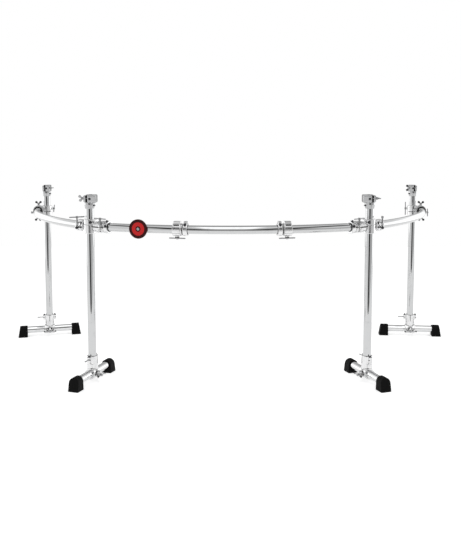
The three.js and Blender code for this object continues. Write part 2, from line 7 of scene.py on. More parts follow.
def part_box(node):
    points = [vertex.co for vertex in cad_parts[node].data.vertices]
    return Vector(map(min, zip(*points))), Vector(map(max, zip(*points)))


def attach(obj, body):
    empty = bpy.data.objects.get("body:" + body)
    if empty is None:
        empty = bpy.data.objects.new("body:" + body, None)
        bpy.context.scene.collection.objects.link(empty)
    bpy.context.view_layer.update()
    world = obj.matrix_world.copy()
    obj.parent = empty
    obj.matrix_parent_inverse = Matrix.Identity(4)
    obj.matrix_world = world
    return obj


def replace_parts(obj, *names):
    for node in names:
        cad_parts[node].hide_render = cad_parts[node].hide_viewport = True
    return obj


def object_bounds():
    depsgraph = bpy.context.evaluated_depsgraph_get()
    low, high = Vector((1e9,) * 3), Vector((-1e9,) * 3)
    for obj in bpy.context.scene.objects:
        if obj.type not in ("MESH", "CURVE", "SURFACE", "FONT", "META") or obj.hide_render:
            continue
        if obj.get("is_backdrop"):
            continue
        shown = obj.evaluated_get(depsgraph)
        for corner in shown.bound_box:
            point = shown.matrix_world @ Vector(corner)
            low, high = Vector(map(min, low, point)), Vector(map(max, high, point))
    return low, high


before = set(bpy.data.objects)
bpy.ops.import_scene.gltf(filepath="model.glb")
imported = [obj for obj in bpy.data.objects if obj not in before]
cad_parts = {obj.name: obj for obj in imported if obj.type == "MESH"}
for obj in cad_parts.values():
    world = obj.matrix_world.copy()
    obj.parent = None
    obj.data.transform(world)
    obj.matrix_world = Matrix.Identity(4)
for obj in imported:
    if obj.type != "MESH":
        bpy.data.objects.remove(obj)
packed_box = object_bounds()


# Leg tubes. Four straight steel tubes, 38.1 mm across, drawn, polished and chrome plated.
# Each stands in its tee at the foot and carries a tube clamp on top, and the rails' clamps
# grip it in between. Their rims are broken by hand after sawing.

tube_radius = 0.01905
tube_wall = 0.002
rim_break = 0.0004
round_sides = 64
crease = math.radians(32)
shift = Matrix.Translation
unmoved = Matrix.Identity(4)


def quarters(count, axis):
    """A rotation by a number of quarter turns about an axis."""
    return Matrix.Rotation(count * math.pi / 2, 4, axis)


def let_go():
    """Leaves edit mode and selects nothing."""
    if bpy.context.object is not None and bpy.context.object.mode == "EDIT":
        bpy.ops.object.mode_set(mode="OBJECT")
    bpy.ops.object.select_all(action="DESELECT")


def take_up(piece):
    """Makes one piece the only one selected."""
    let_go()
    piece.select_set(True)
    bpy.context.view_layer.objects.active = piece
    return piece


def settle(name):
    """Names the piece just made and puts its place into its mesh."""
    bpy.ops.object.transform_apply(location=True, rotation=True, scale=True)
    bpy.context.object.name = name
    return bpy.context.object


def work(piece, kind, **settings):
    """Adds a modifier to a piece and applies it."""
    take_up(piece)
    modifier = piece.modifiers.new(kind.title(), kind)
    for setting, value in settings.items():
        setattr(modifier, setting, value)
    bpy.ops.object.modifier_apply(modifier=modifier.name)
    return piece


def smooth(piece, angle=crease):
    """Shades a piece smooth, apart from its real edges."""
    take_up(piece)
    bpy.ops.object.shade_smooth_by_angle(angle=angle)
    return piece


def walled(tube, wall):
    """Gives a bare tube skin its wall, inwards, and breaks the rims."""
    work(tube, "SOLIDIFY", thickness=wall, offset=-1)
    work(tube, "BEVEL", width=rim_break, segments=2, limit_method="ANGLE", angle_limit=math.radians(60))
    return smooth(tube, math.radians(20))


def straight_tube(name, start, end, axis="Z"):
    """A tube of the rack's own stock between two stations of an axis."""
    let_go()
    bpy.ops.mesh.primitive_cylinder_add(
        vertices=round_sides,
        radius=tube_radius,
        depth=end - start,
        end_fill_type="NOTHING",
        location=(0, 0, (start + end) / 2),
    )
    tube = settle(name)
    if axis == "X":
        tube.data.transform(quarters(1, "Y"))
    return walled(tube, tube_wall)


class Signal:
    """A number on its way through a material. Sums and products with it add Math nodes."""

    def __init__(self, tree, socket):
        self.tree = tree
        self.socket = socket

    def figure(self, operation, *numbers):
        node = self.tree.nodes.new("ShaderNodeMath")
        node.operation = operation
        for place, number in enumerate(numbers):
            if isinstance(number, Signal):
                self.tree.links.new(number.socket, node.inputs[place])
            else:
                node.inputs[place].default_value = number
        return Signal(self.tree, node.outputs[0])

    def __add__(self, other):
        return self.figure("ADD", self, other)

    __radd__ = __add__

    def __sub__(self, other):
        return self.figure("SUBTRACT", self, other)

    def __rsub__(self, other):
        return self.figure("SUBTRACT", other, self)

    def __mul__(self, other):
        return self.figure("MULTIPLY", self, other)

    __rmul__ = __mul__

    def __abs__(self):
        return self.figure("ABSOLUTE", self)

    def above(self, edge):
        return self.figure("GREATER_THAN", self, edge)

    def held(self, low, high):
        return self.figure("MAXIMUM", self.figure("MINIMUM", self, high), low)


class Finish:
    """A material or world whose nodes are being laid out."""

    def __init__(self, owner):
        owner.use_nodes = True
        self.owner = owner
        self.tree = owner.node_tree
        self.tree.nodes.clear()

    def add(self, kind, sockets=(), **settings):
        """One node: its settings first, then the values or links of its sockets."""
        node = self.tree.nodes.new("ShaderNode" + kind)
        for setting, value in settings.items():
            setattr(node, setting, value)
        for socket, value in dict(sockets).items():
            self.feed(node.inputs[socket], value)
        return node

    def feed(self, socket, value):
        if isinstance(value, Signal):
            value = value.socket
        if isinstance(value, bpy.types.NodeSocket):
            self.tree.links.new(value, socket)
        else:
            socket.default_value = value

    def signal(self, node, output):
        return Signal(self.tree, node.outputs[output])

    def grain(self, vector, scale, detail=2, roughness=0.5):
        """Noise as a signal from 0 to 1."""
        sockets = {"Vector": vector, "Scale": scale, "Detail": detail, "Roughness": roughness}
        return self.signal(self.add("TexNoise", sockets), "Fac")

    def stretched(self, vector, scale):
        """Coordinates squeezed by axis, so that a pattern on them runs long."""
        return self.add("Mapping", {"Vector": vector, "Scale": scale}).outputs["Vector"]

    def blend(self, share, first, second):
        """A colour between two others."""
        return self.add("Mix", {0: share, 6: first, 7: second}, data_type="RGBA").outputs[2]

    def place(self):
        """Where a point is on the rack, in metres."""
        return self.add("TexCoord").outputs["Object"]

    def bumps(self, height, strength, distance):
        """Small unevenness, as the direction that a surface faces."""
        sockets = {"Height": height, "Strength": strength, "Distance": distance}
        return self.add("Bump", sockets).outputs["Normal"]

    def close(self, shader):
        self.add("OutputMaterial", {"Surface": shader.outputs[0]})
        return self.owner

    def skin(self, sockets):
        """The finished material, from the sockets of its surface."""
        return self.close(self.add("BsdfPrincipled", sockets))


def plated(slot, name, tone, smudged, gloss, peel, draw_marks=(1, 1, 1)):
    """Chrome plate: a bright metal with thumb smudges, a faint orange peel and drawing marks."""
    plate = Finish(bpy.data.materials.new(name))
    spot = plate.place()
    smudges = plate.grain(spot, 26, 4, 0.6)
    haze = ((smudges - 0.52) * 5).held(0, 1)
    marks = plate.grain(plate.stretched(spot, draw_marks), 900, 2)
    sockets = {
        "Base Color": plate.blend(haze * 0.6, tone, smudged),
        "Metallic": 1.0,
        "Roughness": haze * 0.07 + gloss + marks * 0.02,
        "Normal": plate.bumps(plate.grain(spot, 160, 3) * peel + marks * 0.15, 0.05, 0.001),
    }
    return slot, plate.skin(sockets)


chrome_tone = (0.55, 0.555, 0.558, 1)
chrome_smudge = (0.49, 0.495, 0.5, 1)
chrome = plated("chrome_tube", "chrome plated tube", chrome_tone, chrome_smudge, 0.035, 0.25, (1, 1, 0.03))


def like(pattern, place, name):
    """A copy of a pattern with its own mesh, set at its place on the rack."""
    mesh = pattern.data.copy()
    mesh.name = name
    mesh.transform(place)
    if place.determinant() < 0:
        mesh.flip_normals()
    copy = bpy.data.objects.new(name, mesh)
    bpy.context.scene.collection.objects.link(copy)
    return copy


def trim(pattern, place, name, body, finish):
    """Hands a copy of a finished pattern to the rack, on the body that carries it."""
    slot, material = finish
    piece = like(pattern, place, name)
    piece.data.materials.clear()
    piece.data.materials.append(material)
    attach(piece, body)
    return piece


def dress(pattern, place, node, body, finish):
    """The same, in place of its CAD node."""
    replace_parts(trim(pattern, place, node + "_dressed", body, finish), node)


def put_away(*patterns):
    for pattern in patterns:
        bpy.data.objects.remove(pattern)


def axis_of(node):
    """The middle of a node's box, seen from above."""
    low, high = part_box(node)
    return Vector(((low.x + high.x) / 2, (low.y + high.y) / 2, 0))


middle = (axis_of("inner_leg_left").x + axis_of("inner_leg_right").x) / 2
to_left = shift((2 * middle, 0, 0)) @ Matrix.Scale(-1, 4, (1, 0, 0))
sides = {"right": unmoved, "left": to_left}
legs = {"inner": axis_of("inner_leg_right"), "outer": axis_of("outer_leg_right")}

leg_bottom, leg_top = (corner.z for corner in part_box("inner_leg_right"))
leg_pattern = straight_tube("leg_pattern", leg_bottom, leg_top)
for kind, foot_point in legs.items():
    for side, mirror in sides.items():
        place = mirror @ shift(foot_point)
        dress(leg_pattern, place, f"{kind}_leg_{side}", f"{side}_{kind}_post", chrome)
put_away(leg_pattern)


# Foot tubes. A short length of the same tube lies across under each leg and can be slid
# sideways through the tee. Its ends are pushed into rubber boots.

foot_axis = 0.039
foot_turns = {
    ("inner", "right"): -70.5,
    ("inner", "left"): -70.5,
    ("outer", "right"): -5.5,
    ("outer", "left"): -15.0,
}
foot_tube_end = 0.1655


def foot_place(kind, side):
    """From a foot's own frame, x along its tube, to its place on the rack."""
    turn = Matrix.Rotation(math.radians(foot_turns[kind, side]), 4, "Z")
    return sides[side] @ shift(legs[kind] + Vector((0, 0, foot_axis))) @ turn


# The foot tubes' chrome is a lighter copy of the leg tubes' chrome, with the legs' tone in its smudges:
# painted light, for the brightness the feet take from the pale floor below them.
foot_lit_tone = (0.68, 0.684, 0.688, 1)
lit_foot_chrome = plated(
    "chrome_tube", "chrome plated foot tube", foot_lit_tone, chrome_tone, 0.03, 0.25, (1, 0.6, 1)
)
foot_tube_pattern = straight_tube("foot_tube_pattern", -foot_tube_end, foot_tube_end, "X")
for kind, side in foot_turns:
    place = foot_place(kind, side)
    dress(foot_tube_pattern, place, f"{kind}_foot_tube_{side}", f"{side}_{kind}_foot", lit_foot_chrome)
put_away(foot_tube_pattern)


# Rubber boots. Moulded black rubber, pushed over the ends of the foot tube: an arch over the
# tube on straight flanks that flare to the floor, with a sloping nose and a flat sole.

boot_start = 0.1249
boot_nose_floor = 0.1775
boot_nose_slope = 0.1656
boot_arch = 0.025
boot_flank = 0.026
boot_bore = tube_radius + 0.0003
sole_flat = 0.0012
sole_lift = 0.00002


def drum(name, radius, start, end, axis="Z", at=(0, 0, 0), end_radius=None):
    """A round bar or cone between two stations of an axis."""
    let_go()
    bpy.ops.mesh.primitive_cone_add(
        vertices=round_sides,
        radius1=radius,
        radius2=radius if end_radius is None else end_radius,
        depth=end - start,
        location=(0, 0, (start + end) / 2),
    )
    bar = settle(name)
    turn = {"X": quarters(1, "Y"), "Y": quarters(-1, "X")}
    bar.data.transform(shift(at) @ turn.get(axis, unmoved))
    return bar


def slab(name, x, y, z):
    """A squared block between two corners."""
    let_go()
    bpy.ops.mesh.primitive_cube_add(
        size=1,
        location=((x[0] + x[1]) / 2, (y[0] + y[1]) / 2, (z[0] + z[1]) / 2),
        scale=(x[1] - x[0], y[1] - y[0], z[1] - z[0]),
    )
    return settle(name)


def joined(pieces):
    """Several loose pieces as one object."""
    take_up(pieces[0])
    for piece in pieces:
        piece.select_set(True)
    if len(pieces) > 1:
        bpy.ops.object.join()
    return pieces[0]


def fused(pieces, grain, softness):
    """Runs lumps together into one solid, with a soft fillet where they meet."""
    lump = joined(pieces)
    work(lump, "REMESH", mode="VOXEL", voxel_size=grain)
    work(lump, "SMOOTH", factor=0.5, iterations=softness)
    return lump


def machined(piece, *tools, operation="DIFFERENCE"):
    """Takes away what the tools cover, as on a drill or a mill."""
    for tool in tools:
        work(piece, "BOOLEAN", operation=operation, object=tool, solver="EXACT")
        put_away(tool)
    return piece


def welded(piece, *parts):
    """Joins parts to a piece with sharp corners between them."""
    return machined(piece, *parts, operation="UNION")


def rubber(name):
    """Moulded rubber: near black, matt, with a fine pebble and pale dust low down."""
    moulding = Finish(bpy.data.materials.new(name))
    spot = moulding.place()
    height = moulding.signal(moulding.add("SeparateXYZ", {"Vector": spot}), "Z")
    pebble = moulding.grain(spot, 900, 2)
    blotch = moulding.grain(spot, 60, 4, 0.6)
    dust = ((0.012 - height) * 60).held(0, 1) * blotch
    fresh = moulding.blend(blotch, (0.0025, 0.0025, 0.0026, 1), (0.005, 0.005, 0.0052, 1))
    sockets = {
        "Base Color": moulding.blend(dust * 0.25, fresh, (0.03, 0.029, 0.027, 1)),
        "Roughness": blotch * 0.2 + 0.55,
        "Normal": moulding.bumps(pebble * 0.7 + blotch * 0.3, 0.35, 0.0006),
        "Specular IOR Level": 0.08,
    }
    return "black_rubber", moulding.skin(sockets)


boot_rubber = rubber("moulded black rubber")
boot_length = (boot_start, boot_nose_floor)
arch = drum("boot_pattern", boot_arch, *boot_length, "X")
flanks = slab("flanks", boot_length, (-boot_arch, boot_arch), (-foot_axis, 0))
boot_block = fused([arch, flanks], 0.0011, 2)
nose_turn = Matrix.Rotation(-math.atan(boot_nose_slope), 4, "Y")
nose_cut = slab("nose_cut", (0, 0.06), (-0.06, 0.06), (-0.09, 0.13))
nose_cut.data.transform(shift((boot_nose_floor - rim_break, 0, -foot_axis)) @ nose_turn)
machined(boot_block, nose_cut)
for vertex in boot_block.data.vertices:
    if vertex.co.z < 0:
        vertex.co.y *= 1 + (boot_flank / boot_arch - 1) * vertex.co.z / -foot_axis
fused([boot_block], 0.001, 9)
for vertex in boot_block.data.vertices:
    if vertex.co.z < -foot_axis + sole_flat:
        vertex.co.z = -foot_axis + sole_lift
machined(boot_block, drum("tube_room", boot_bore, 0.06, foot_tube_end + 0.0003, "X"))
boot_pattern = smooth(boot_block, math.radians(50))
for kind, side in foot_turns:
    for mark, end in (("a", unmoved), ("b", quarters(2, "Z"))):
        place = foot_place(kind, side) @ end
        dress(boot_pattern, place, f"{kind}_boot_{mark}_{side}", f"{side}_{kind}_foot", boot_rubber)
put_away(boot_pattern)


# Tees. Each is a chromed casting with a sleeve for the leg and a split ring for the foot tube.
# A cross-bar bolt in front closes the ring, and two eared screws and a lever close the sleeve.

tee = {
    "sleeve": 0.026,
    "top": 0.084,
    "floor": 0.03,
    "ring": 0.027,
    "half": 0.028,
    "neck": 0.014,
    "web_top": 0.046,
    "lug_reach": 0.037,
    "lug_low": 0.055,
    "lug_high": 0.082,
    "lug_half": 0.008,
    "seat": -0.042,
    "bolt_drop": -0.006,
}
bore_radius = tube_radius + 0.0005
hole_radius = 0.0046
hole_depth = 0.0118
overshoot = 0.01
cast_grain = 0.001
cast_softness = 5


def wedge(name, half_low, half_high, half_depth, low, high):
    """A block that narrows upwards."""
    block = slab(name, (-half_low, half_low), (-half_depth, half_depth), (low, high))
    for vertex in block.data.vertices:
        if vertex.co.z > (low + high) / 2:
            vertex.co.x *= half_high / half_low
    return block


cast_tone = (0.73, 0.732, 0.735, 1)
cast_smudge = (0.58, 0.583, 0.588, 1)
cast_chrome = plated("cast_clamp", "chrome plated casting", cast_tone, cast_smudge, 0.2, 1.0)
nylon = rubber("black nylon")


def strip(start, end, width, depth):
    """A straight cutter for a groove in a front face, from one (x, z) to another."""
    run = Vector((end[0] - start[0], 0, end[1] - start[1]))
    bar = slab("strip", (0, run.length), depth, (-width / 2, width / 2))
    turn = Matrix.Rotation(-math.atan2(run.z, run.x), 4, "Y")
    bar.data.transform(shift((start[0], 0, start[1])) @ turn)
    return bar


def shade_lined(casting, *grooves):
    """Cuts grooves into a casting and gives back the black strips of painted shade that fill them: dark
    lines where shade falls in splits and seams.
    """
    fillings = []
    for groove in grooves:
        filling = like(casting, unmoved, "liner")
        fillings.append(work(filling, "BOOLEAN", operation="INTERSECT", object=groove, solver="EXACT"))
        machined(casting, groove)
    return smooth(joined(fillings))


def both(half):
    """From a length below zero to the same above."""
    return -half, half


tongue = wedge("tongue", 0.012, 0.003, 0.0135, *both(0.014))
tongue.data.transform(shift((0, -0.0285, 0)))
tee_parts = [
    drum("tee_pattern", tee["sleeve"], 0, tee["top"]),
    drum("ring", tee["ring"], *both(tee["half"]), "X"),
    wedge("web", tee["half"], tee["sleeve"], tee["neck"], 0, tee["web_top"]),
    tongue,
    slab("lugs", both(tee["lug_reach"]), both(tee["lug_half"]), (tee["lug_low"], tee["lug_high"])),
]
tee_pattern = fused(tee_parts, cast_grain, cast_softness)
# Grooves on the tee's front take black strips of painted shade. One lies in the sleeve's real split; the
# claw, flare, roof and ear strips lie where shade falls between the casting's lumps.
tee_shade_grooves = [slab("sleeve_split", (-0.0012, 0.0012), (-0.03, -0.022), (0.048, 0.09))]
for end in (-1, 1):
    claw = (end * 0.005, 0.0135), (end * 0.0142, -0.008)
    flare = (end * 0.0155, -0.008), (end * 0.0225, 0.0015)
    roof = (end * 0.001, 0.018), (end * 0.0285, 0.029)
    ear = (end * 0.0275, 0.069), (end * 0.038, 0.069)
    for (start, stop), width in ((claw, 0.004), (flare, 0.004), (roof, 0.0026), (ear, 0.0034)):
        tee_shade_grooves.append(strip(start, stop, width, (-0.05, -0.005)))
seat, drop = tee["seat"], (0, 0, tee["bolt_drop"])
machined(
    tee_pattern,
    drum("leg_bore", bore_radius, tee["floor"], tee["top"] + overshoot),
    drum("foot_bore", bore_radius, *both(0.05), "X"),
    drum("bolt_hole", hole_radius, seat - overshoot, seat + hole_depth, "Y", drop),
)
tee_shade_strips = shade_lined(tee_pattern, *tee_shade_grooves)
smooth(tee_pattern)
for kind, side in foot_turns:
    place = foot_place(kind, side)
    dress(tee_pattern, place, f"{kind}_tee_{side}", f"{side}_{kind}_swivel", cast_chrome)
    trim(tee_shade_strips, place, f"{kind}_tee_shade_strips_{side}", f"{side}_{kind}_swivel", nylon)
put_away(tee_pattern, tee_shade_strips)


# Cross-bar bolts. Turned steel: a threaded shank under a hub, and a round bar pressed
# through the hub to turn it by hand. The tees' bars have black caps on their ends.

bolt_shank = 0.004
bolt_hub = 0.0065
bolt_hub_half = 0.00475
bolt_bar = 0.0028
thread_pitch = 0.00125
thread_depth = 0.00035
soft_crease = math.radians(40)


def open_whole():
    """Opens the piece just made for editing, all of it selected."""
    bpy.ops.object.mode_set(mode="EDIT")
    bpy.ops.mesh.select_all(action="SELECT")


def close_outwards():
    """Turns every face outwards and ends the editing."""
    bpy.ops.mesh.select_all(action="SELECT")
    bpy.ops.mesh.normals_make_consistent(inside=False)
    bpy.ops.object.mode_set(mode="OBJECT")


def turned(name, profile, sides_round=40):
    """A turned piece: a ring at each height and radius of its profile, closed at both ends."""
    let_go()
    height, radius = profile[0]
    bpy.ops.mesh.primitive_circle_add(
        vertices=sides_round, radius=radius, fill_type="NGON", location=(0, 0, height)
    )
    piece = settle(name)
    open_whole()
    for next_height, next_radius in profile[1:]:
        bpy.ops.mesh.extrude_region_move(TRANSFORM_OT_translate={"value": (0, 0, next_height - height)})
        share = next_radius / radius
        bpy.ops.transform.resize(value=(share, share, 1), center_override=(0, 0, next_height))
        height, radius = next_height, next_radius
    close_outwards()
    return piece


def threaded(radius, start, end):
    """The profile of a thread from one height up to another."""
    turns = int((end - start) / thread_pitch)
    crests = [start + turn * thread_pitch for turn in range(turns)]
    profile = []
    for crest in crests:
        profile.append((crest, radius - thread_depth))
        profile.append((crest + thread_pitch / 2, radius))
    return profile


def bar_bolt(name, length, standoff, depth):
    """A bolt on its seat at z = 0, with its bar along x."""
    low, high = standoff - bolt_hub_half, standoff + bolt_hub_half
    thread = threaded(bolt_shank, -depth + 0.0005, -0.0005)
    neck = [(0, bolt_shank), (low - 0.0005, bolt_shank), (low, bolt_hub - 0.001)]
    knob = [(low + 0.001, bolt_hub), (high - 0.002, bolt_hub)]
    top = [(high - 0.0006, bolt_hub - 0.0008), (high, bolt_hub - 0.0024)]
    hub = turned(name, [(-depth, bolt_shank - 0.001)] + thread + neck + knob + top)
    half = length / 2
    ends = ((0, 0.45), (0.3, 0.85), (1, 1), (1.4, 1))
    profile = [(-half + bolt_bar * inward, bolt_bar * share) for inward, share in ends]
    profile += [(half - bolt_bar * inward, bolt_bar * share) for inward, share in reversed(ends)]
    bar = turned("bar", profile, 24)
    bar.data.transform(shift((0, 0, standoff)) @ quarters(1, "Y"))
    return smooth(welded(hub, bar), soft_crease)


bolt_tone = (0.33, 0.333, 0.337, 1)
bolt_smudge = (0.27, 0.273, 0.277, 1)
bolt_chrome = plated("bolt_steel", "chrome plated bolt", bolt_tone, bolt_smudge, 0.09, 0.5)
foot_bar = 0.062
short_standoff = 0.0055
short_depth = 0.0115
foot_bolt = bar_bolt("foot_bolt", foot_bar, short_standoff, short_depth)
cap_profile = [(-0.0034, 0.003), (-0.0026, 0.0041), (0.0026, 0.0041), (0.0034, 0.003)]
bar_cap = smooth(turned("bar_cap", cap_profile, 24))
ends = {"a": -1, "b": 1}
for kind, side in foot_turns:
    seat_place = foot_place(kind, side) @ shift((0, seat, tee["bolt_drop"])) @ quarters(1, "X")
    body = f"{side}_{kind}_tee_screw"
    dress(foot_bolt, seat_place, f"{kind}_tee_bolt_{side}", body, bolt_chrome)
    for mark, end in ends.items():
        on_bar = shift((end * foot_bar / 2, 0, short_standoff)) @ quarters(1, "Y")
        trim(bar_cap, seat_place @ on_bar, f"{kind}_tee_bolt_cap_{mark}_{side}", body, nylon)
put_away(foot_bolt, bar_cap)


# Key screws. Short blackened screws with a square head for a drum key, on a round flange.
# They close the tees' sleeves, with a lever through the ears, and others sit in the clamps.


def key_screw(name, flange):
    """A screw on its seat at z = 0."""
    neck = flange * 0.52
    shank = [(-0.004, neck), (-0.0002, neck), (0, flange - 0.0004)]
    dome = [(0.0012, flange), (0.0022, flange * 0.8), (0.0028, flange * 0.55)]
    screw = turned(name, shank + dome)
    square = both(flange * 0.46)
    head = slab("square_head", square, square, (0.001, 0.0075))
    work(head, "BEVEL", width=0.0006, segments=2)
    return smooth(welded(screw, head), soft_crease)


def standing(at, towards):
    """From a screw's own frame to its seat on a casting, with its head pointing a given way."""
    return shift(at) @ Vector(towards).to_track_quat("Z", "Y").to_matrix().to_4x4()


steel_tone = (0.07, 0.07, 0.075, 1)
steel_smudge = (0.045, 0.045, 0.05, 1)
black_steel = plated("bolt_steel", "blackened screw steel", steel_tone, steel_smudge, 0.3, 0.6)
small_screw = key_screw("small_key_screw", 0.0048)
large_screw = key_screw("large_key_screw", 0.0072)
lever_arm = [(0, 0.0034), (0.004, 0.0034), (0.006, 0.0026), (0.027, 0.0026)]
lever_knob = [(0.0285, 0.0034), (0.031, 0.0036), (0.0326, 0.0024), (0.033, 0.0012)]
lever_pattern = smooth(turned("tee_lever", lever_arm + lever_knob, 24), soft_crease)
lever_height = 0.0705
for kind, side in foot_turns:
    place = foot_place(kind, side)
    body = f"{side}_{kind}_swivel"
    for mark, end in ends.items():
        on_ear = place @ standing((end * 0.03, 0, tee["lug_high"]), (0, 0, 1))
        trim(large_screw, on_ear, f"{kind}_tee_ear_screw_{mark}_{side}", body, black_steel)
    out = 1 if side == "left" else -1
    lever_at = (out * (tee["lug_reach"] - 0.001), 0, lever_height)
    on_end = place @ standing(lever_at, (out, 0, 0))
    trim(lever_pattern, on_end, f"{kind}_tee_lever_{side}", body, bolt_chrome)
put_away(lever_pattern)


# Front rail. The same tube, cold bent to a bow of 1.42 m. It bulges towards the audience
# between the two inner legs.

bow = 1.42
rail_height = 0.735
rail_steps = 96
rail_end_gap = 0.0363
front_half_angle = math.asin((legs["inner"].x - middle) / bow)
front_centre = Vector((middle, legs["inner"].y + bow * math.cos(front_half_angle), rail_height))


def on_bow(centre, angle):
    """The point of a rail's centre line at an angle of its bow."""
    return centre + Vector((bow * math.cos(angle), bow * math.sin(angle), 0))


def swept(name, radius, centre, start, end, steps, fill):
    """A circle swept along a bow, from one angle to another."""
    let_go()
    bpy.ops.mesh.primitive_circle_add(
        vertices=round_sides,
        radius=radius,
        location=on_bow(centre, start),
        rotation=(math.pi / 2, 0, start),
        fill_type=fill,
    )
    bar = settle(name)
    open_whole()
    bpy.ops.mesh.spin(steps=steps, dupli=False, angle=start - end, center=centre, axis=(0, 0, 1))
    bpy.ops.mesh.select_all(action="SELECT")
    bpy.ops.mesh.remove_doubles(threshold=1e-6)
    close_outwards()
    return bar


def bowed_tube(name, centre, start, end):
    """A rail of the rack's own stock, from one angle of its bow to another."""
    rail = swept(name, tube_radius, centre, start, end, rail_steps, "NOTHING")
    outward = rail.data.polygons[0]
    angle = math.atan2(outward.center.y - centre.y, outward.center.x - centre.x)
    if outward.normal.dot(outward.center - on_bow(centre, angle)) < 0:
        rail.data.flip_normals()
    return walled(rail, tube_wall)


front_end = front_half_angle - rail_end_gap / bow
front_end_angle = -math.pi / 2 + front_end
front_rail = bowed_tube("front_rail", front_centre, -math.pi / 2 - front_end, front_end_angle)
dress(front_rail, unmoved, "front_rail", "front_frame", chrome)
put_away(front_rail)


# Wing rails. The same bowed tube again, one each side, from the inner leg back past the
# outer leg.

wing_heading = 0.6811 * math.pi / 2
wing_half_angle = math.asin(0.945 / 2 / bow)
wing_square = wing_heading + math.pi / 2 - wing_half_angle
wing_centre = on_bow(legs["inner"], wing_square) + Vector((0, 0, rail_height))
wing_leg_angle = wing_heading - math.pi / 2 - wing_half_angle
wing_cross_angle = wing_heading - math.pi / 2 + wing_half_angle
wing_start_angle = wing_leg_angle + rail_end_gap / bow
wing_end_angle = wing_cross_angle + 0.04 / bow
wing_pattern = bowed_tube("wing_pattern", wing_centre, wing_start_angle, wing_end_angle)
for side, mirror in sides.items():
    dress(wing_pattern, mirror, f"wing_rail_{side}", f"{side}_wing", chrome)
put_away(wing_pattern)


# Inner clamps. Two chromed castings share each inner leg. The lower one grips the wing rail
# and the upper one the front rail, each in a split sleeve that its bolt closes.

ring_radius = 0.028
ring_split = 0.008
half_ring = 0.033
ear_radius = 0.009
ear_out = 0.027
ear_top = 0.012
ear_bottom = -0.014
ear_hole_depth = 0.0223
long_standoff = 0.0275
long_depth = 0.022
long_bar = 0.076
ring_gap = 0.00015
through = both(0.06)


def bow_tool(centre, start, end, place):
    """A bowed bar that bores a clamp for its rail, in the clamp's own frame."""
    tool = swept("bow_tool", bore_radius, centre, start, end, 24, "NGON")
    tool.data.transform(place.inverted())
    return tool


def stacked_clamp(name, ring, sleeve, grip, bolt_at, ear_side, tool, grooves):
    """One casting of the pair: x runs out along its rail, from the leg's axis."""
    low, high = ring
    ear_at = (bolt_at, ear_side * ear_out, 0)
    ear_root = (bolt_at - ear_radius, bolt_at + ear_radius)
    parts = [
        drum(name, ring_radius, low, high),
        slab("web", (0.014, 0.036), both(0.014), (low + 0.003, high - 0.003)),
        drum("ear", ear_radius, ear_bottom, ear_top, "Z", ear_at),
        slab("ear_root", ear_root, sorted((0, ear_side * ear_out)), (ear_bottom, ear_top)),
    ]
    for start, end, radius in sleeve:
        parts.append(drum("sleeve", radius, start, end, "X"))
    clamp = fused(parts, cast_grain, cast_softness)
    machined(
        clamp,
        drum("leg_bore", bore_radius, *through),
        tool,
        slab("split", grip, sorted((0, ear_side * 0.06)), both(0.0015)),
        drum("bolt_hole", hole_radius, ear_top - ear_hole_depth, ear_top + overshoot, "Z", ear_at),
    )
    # The black strips in these grooves are painted shade: dark lines along the split and in the seams
    # between sleeve, web and ear, where shade falls.
    groove_depth = sorted((ear_side * 0.05, ear_side * 0.012))
    cuts = [strip(start, end, width, groove_depth) for start, end, width in grooves]
    liner = shade_lined(clamp, *cuts)
    return smooth(clamp), liner


bolt_stations = {"front": (0.075, 1), "wing": (0.064, -1)}
clamp_stand = shift(legs["inner"] + Vector((0, 0, rail_height)))
front_turn = math.pi + front_half_angle - 0.105 / 2 / bow
wing_turn = wing_leg_angle + math.pi / 2 + 0.08 / 2 / bow
front_frame_place = clamp_stand @ Matrix.Rotation(front_turn, 4, "Z")
wing_frame_place = clamp_stand @ Matrix.Rotation(wing_turn, 4, "Z")
front_tool_start = front_end_angle + 0.02 / bow - 0.16 / bow
front_clamp, front_shade_strips = stacked_clamp(
    "front_clamp",
    (ring_split + ring_gap, half_ring),
    [(0.031, 0.05, 0.024), (0.05, 0.087, ring_radius), (0.087, 0.092, 0.024), (0.092, 0.11, 0.0295)],
    (0.05, 0.087),
    *bolt_stations["front"],
    bow_tool(front_centre, front_tool_start, front_end_angle, front_frame_place),
    [
        ((0.029, 0), (0.0655, 0), 0.005),
        ((0.065, -0.001), (0.0725, -0.0205), 0.006),
        ((0.0845, 0), (0.096, 0), 0.0036),
        ((0.09, 0.024), (0.09, -0.024), 0.0016),
    ],
)
wing_clamp, wing_shade_strips = stacked_clamp(
    "wing_clamp",
    (-half_ring, ring_split - ring_gap),
    [(0.031, 0.041, 0.024), (0.041, 0.08, ring_radius)],
    (0.041, 0.085),
    *bolt_stations["wing"],
    bow_tool(wing_centre, wing_start_angle, wing_start_angle + 0.14 / bow, wing_frame_place),
    [
        ((0.0175, 0.009), (0.0175, -0.01), 0.005),
        ((0.0425, 0.017), (0.036, 0.007), 0.005),
        ((0.054, -0.006), (0.062, -0.02), 0.0045),
    ],
)
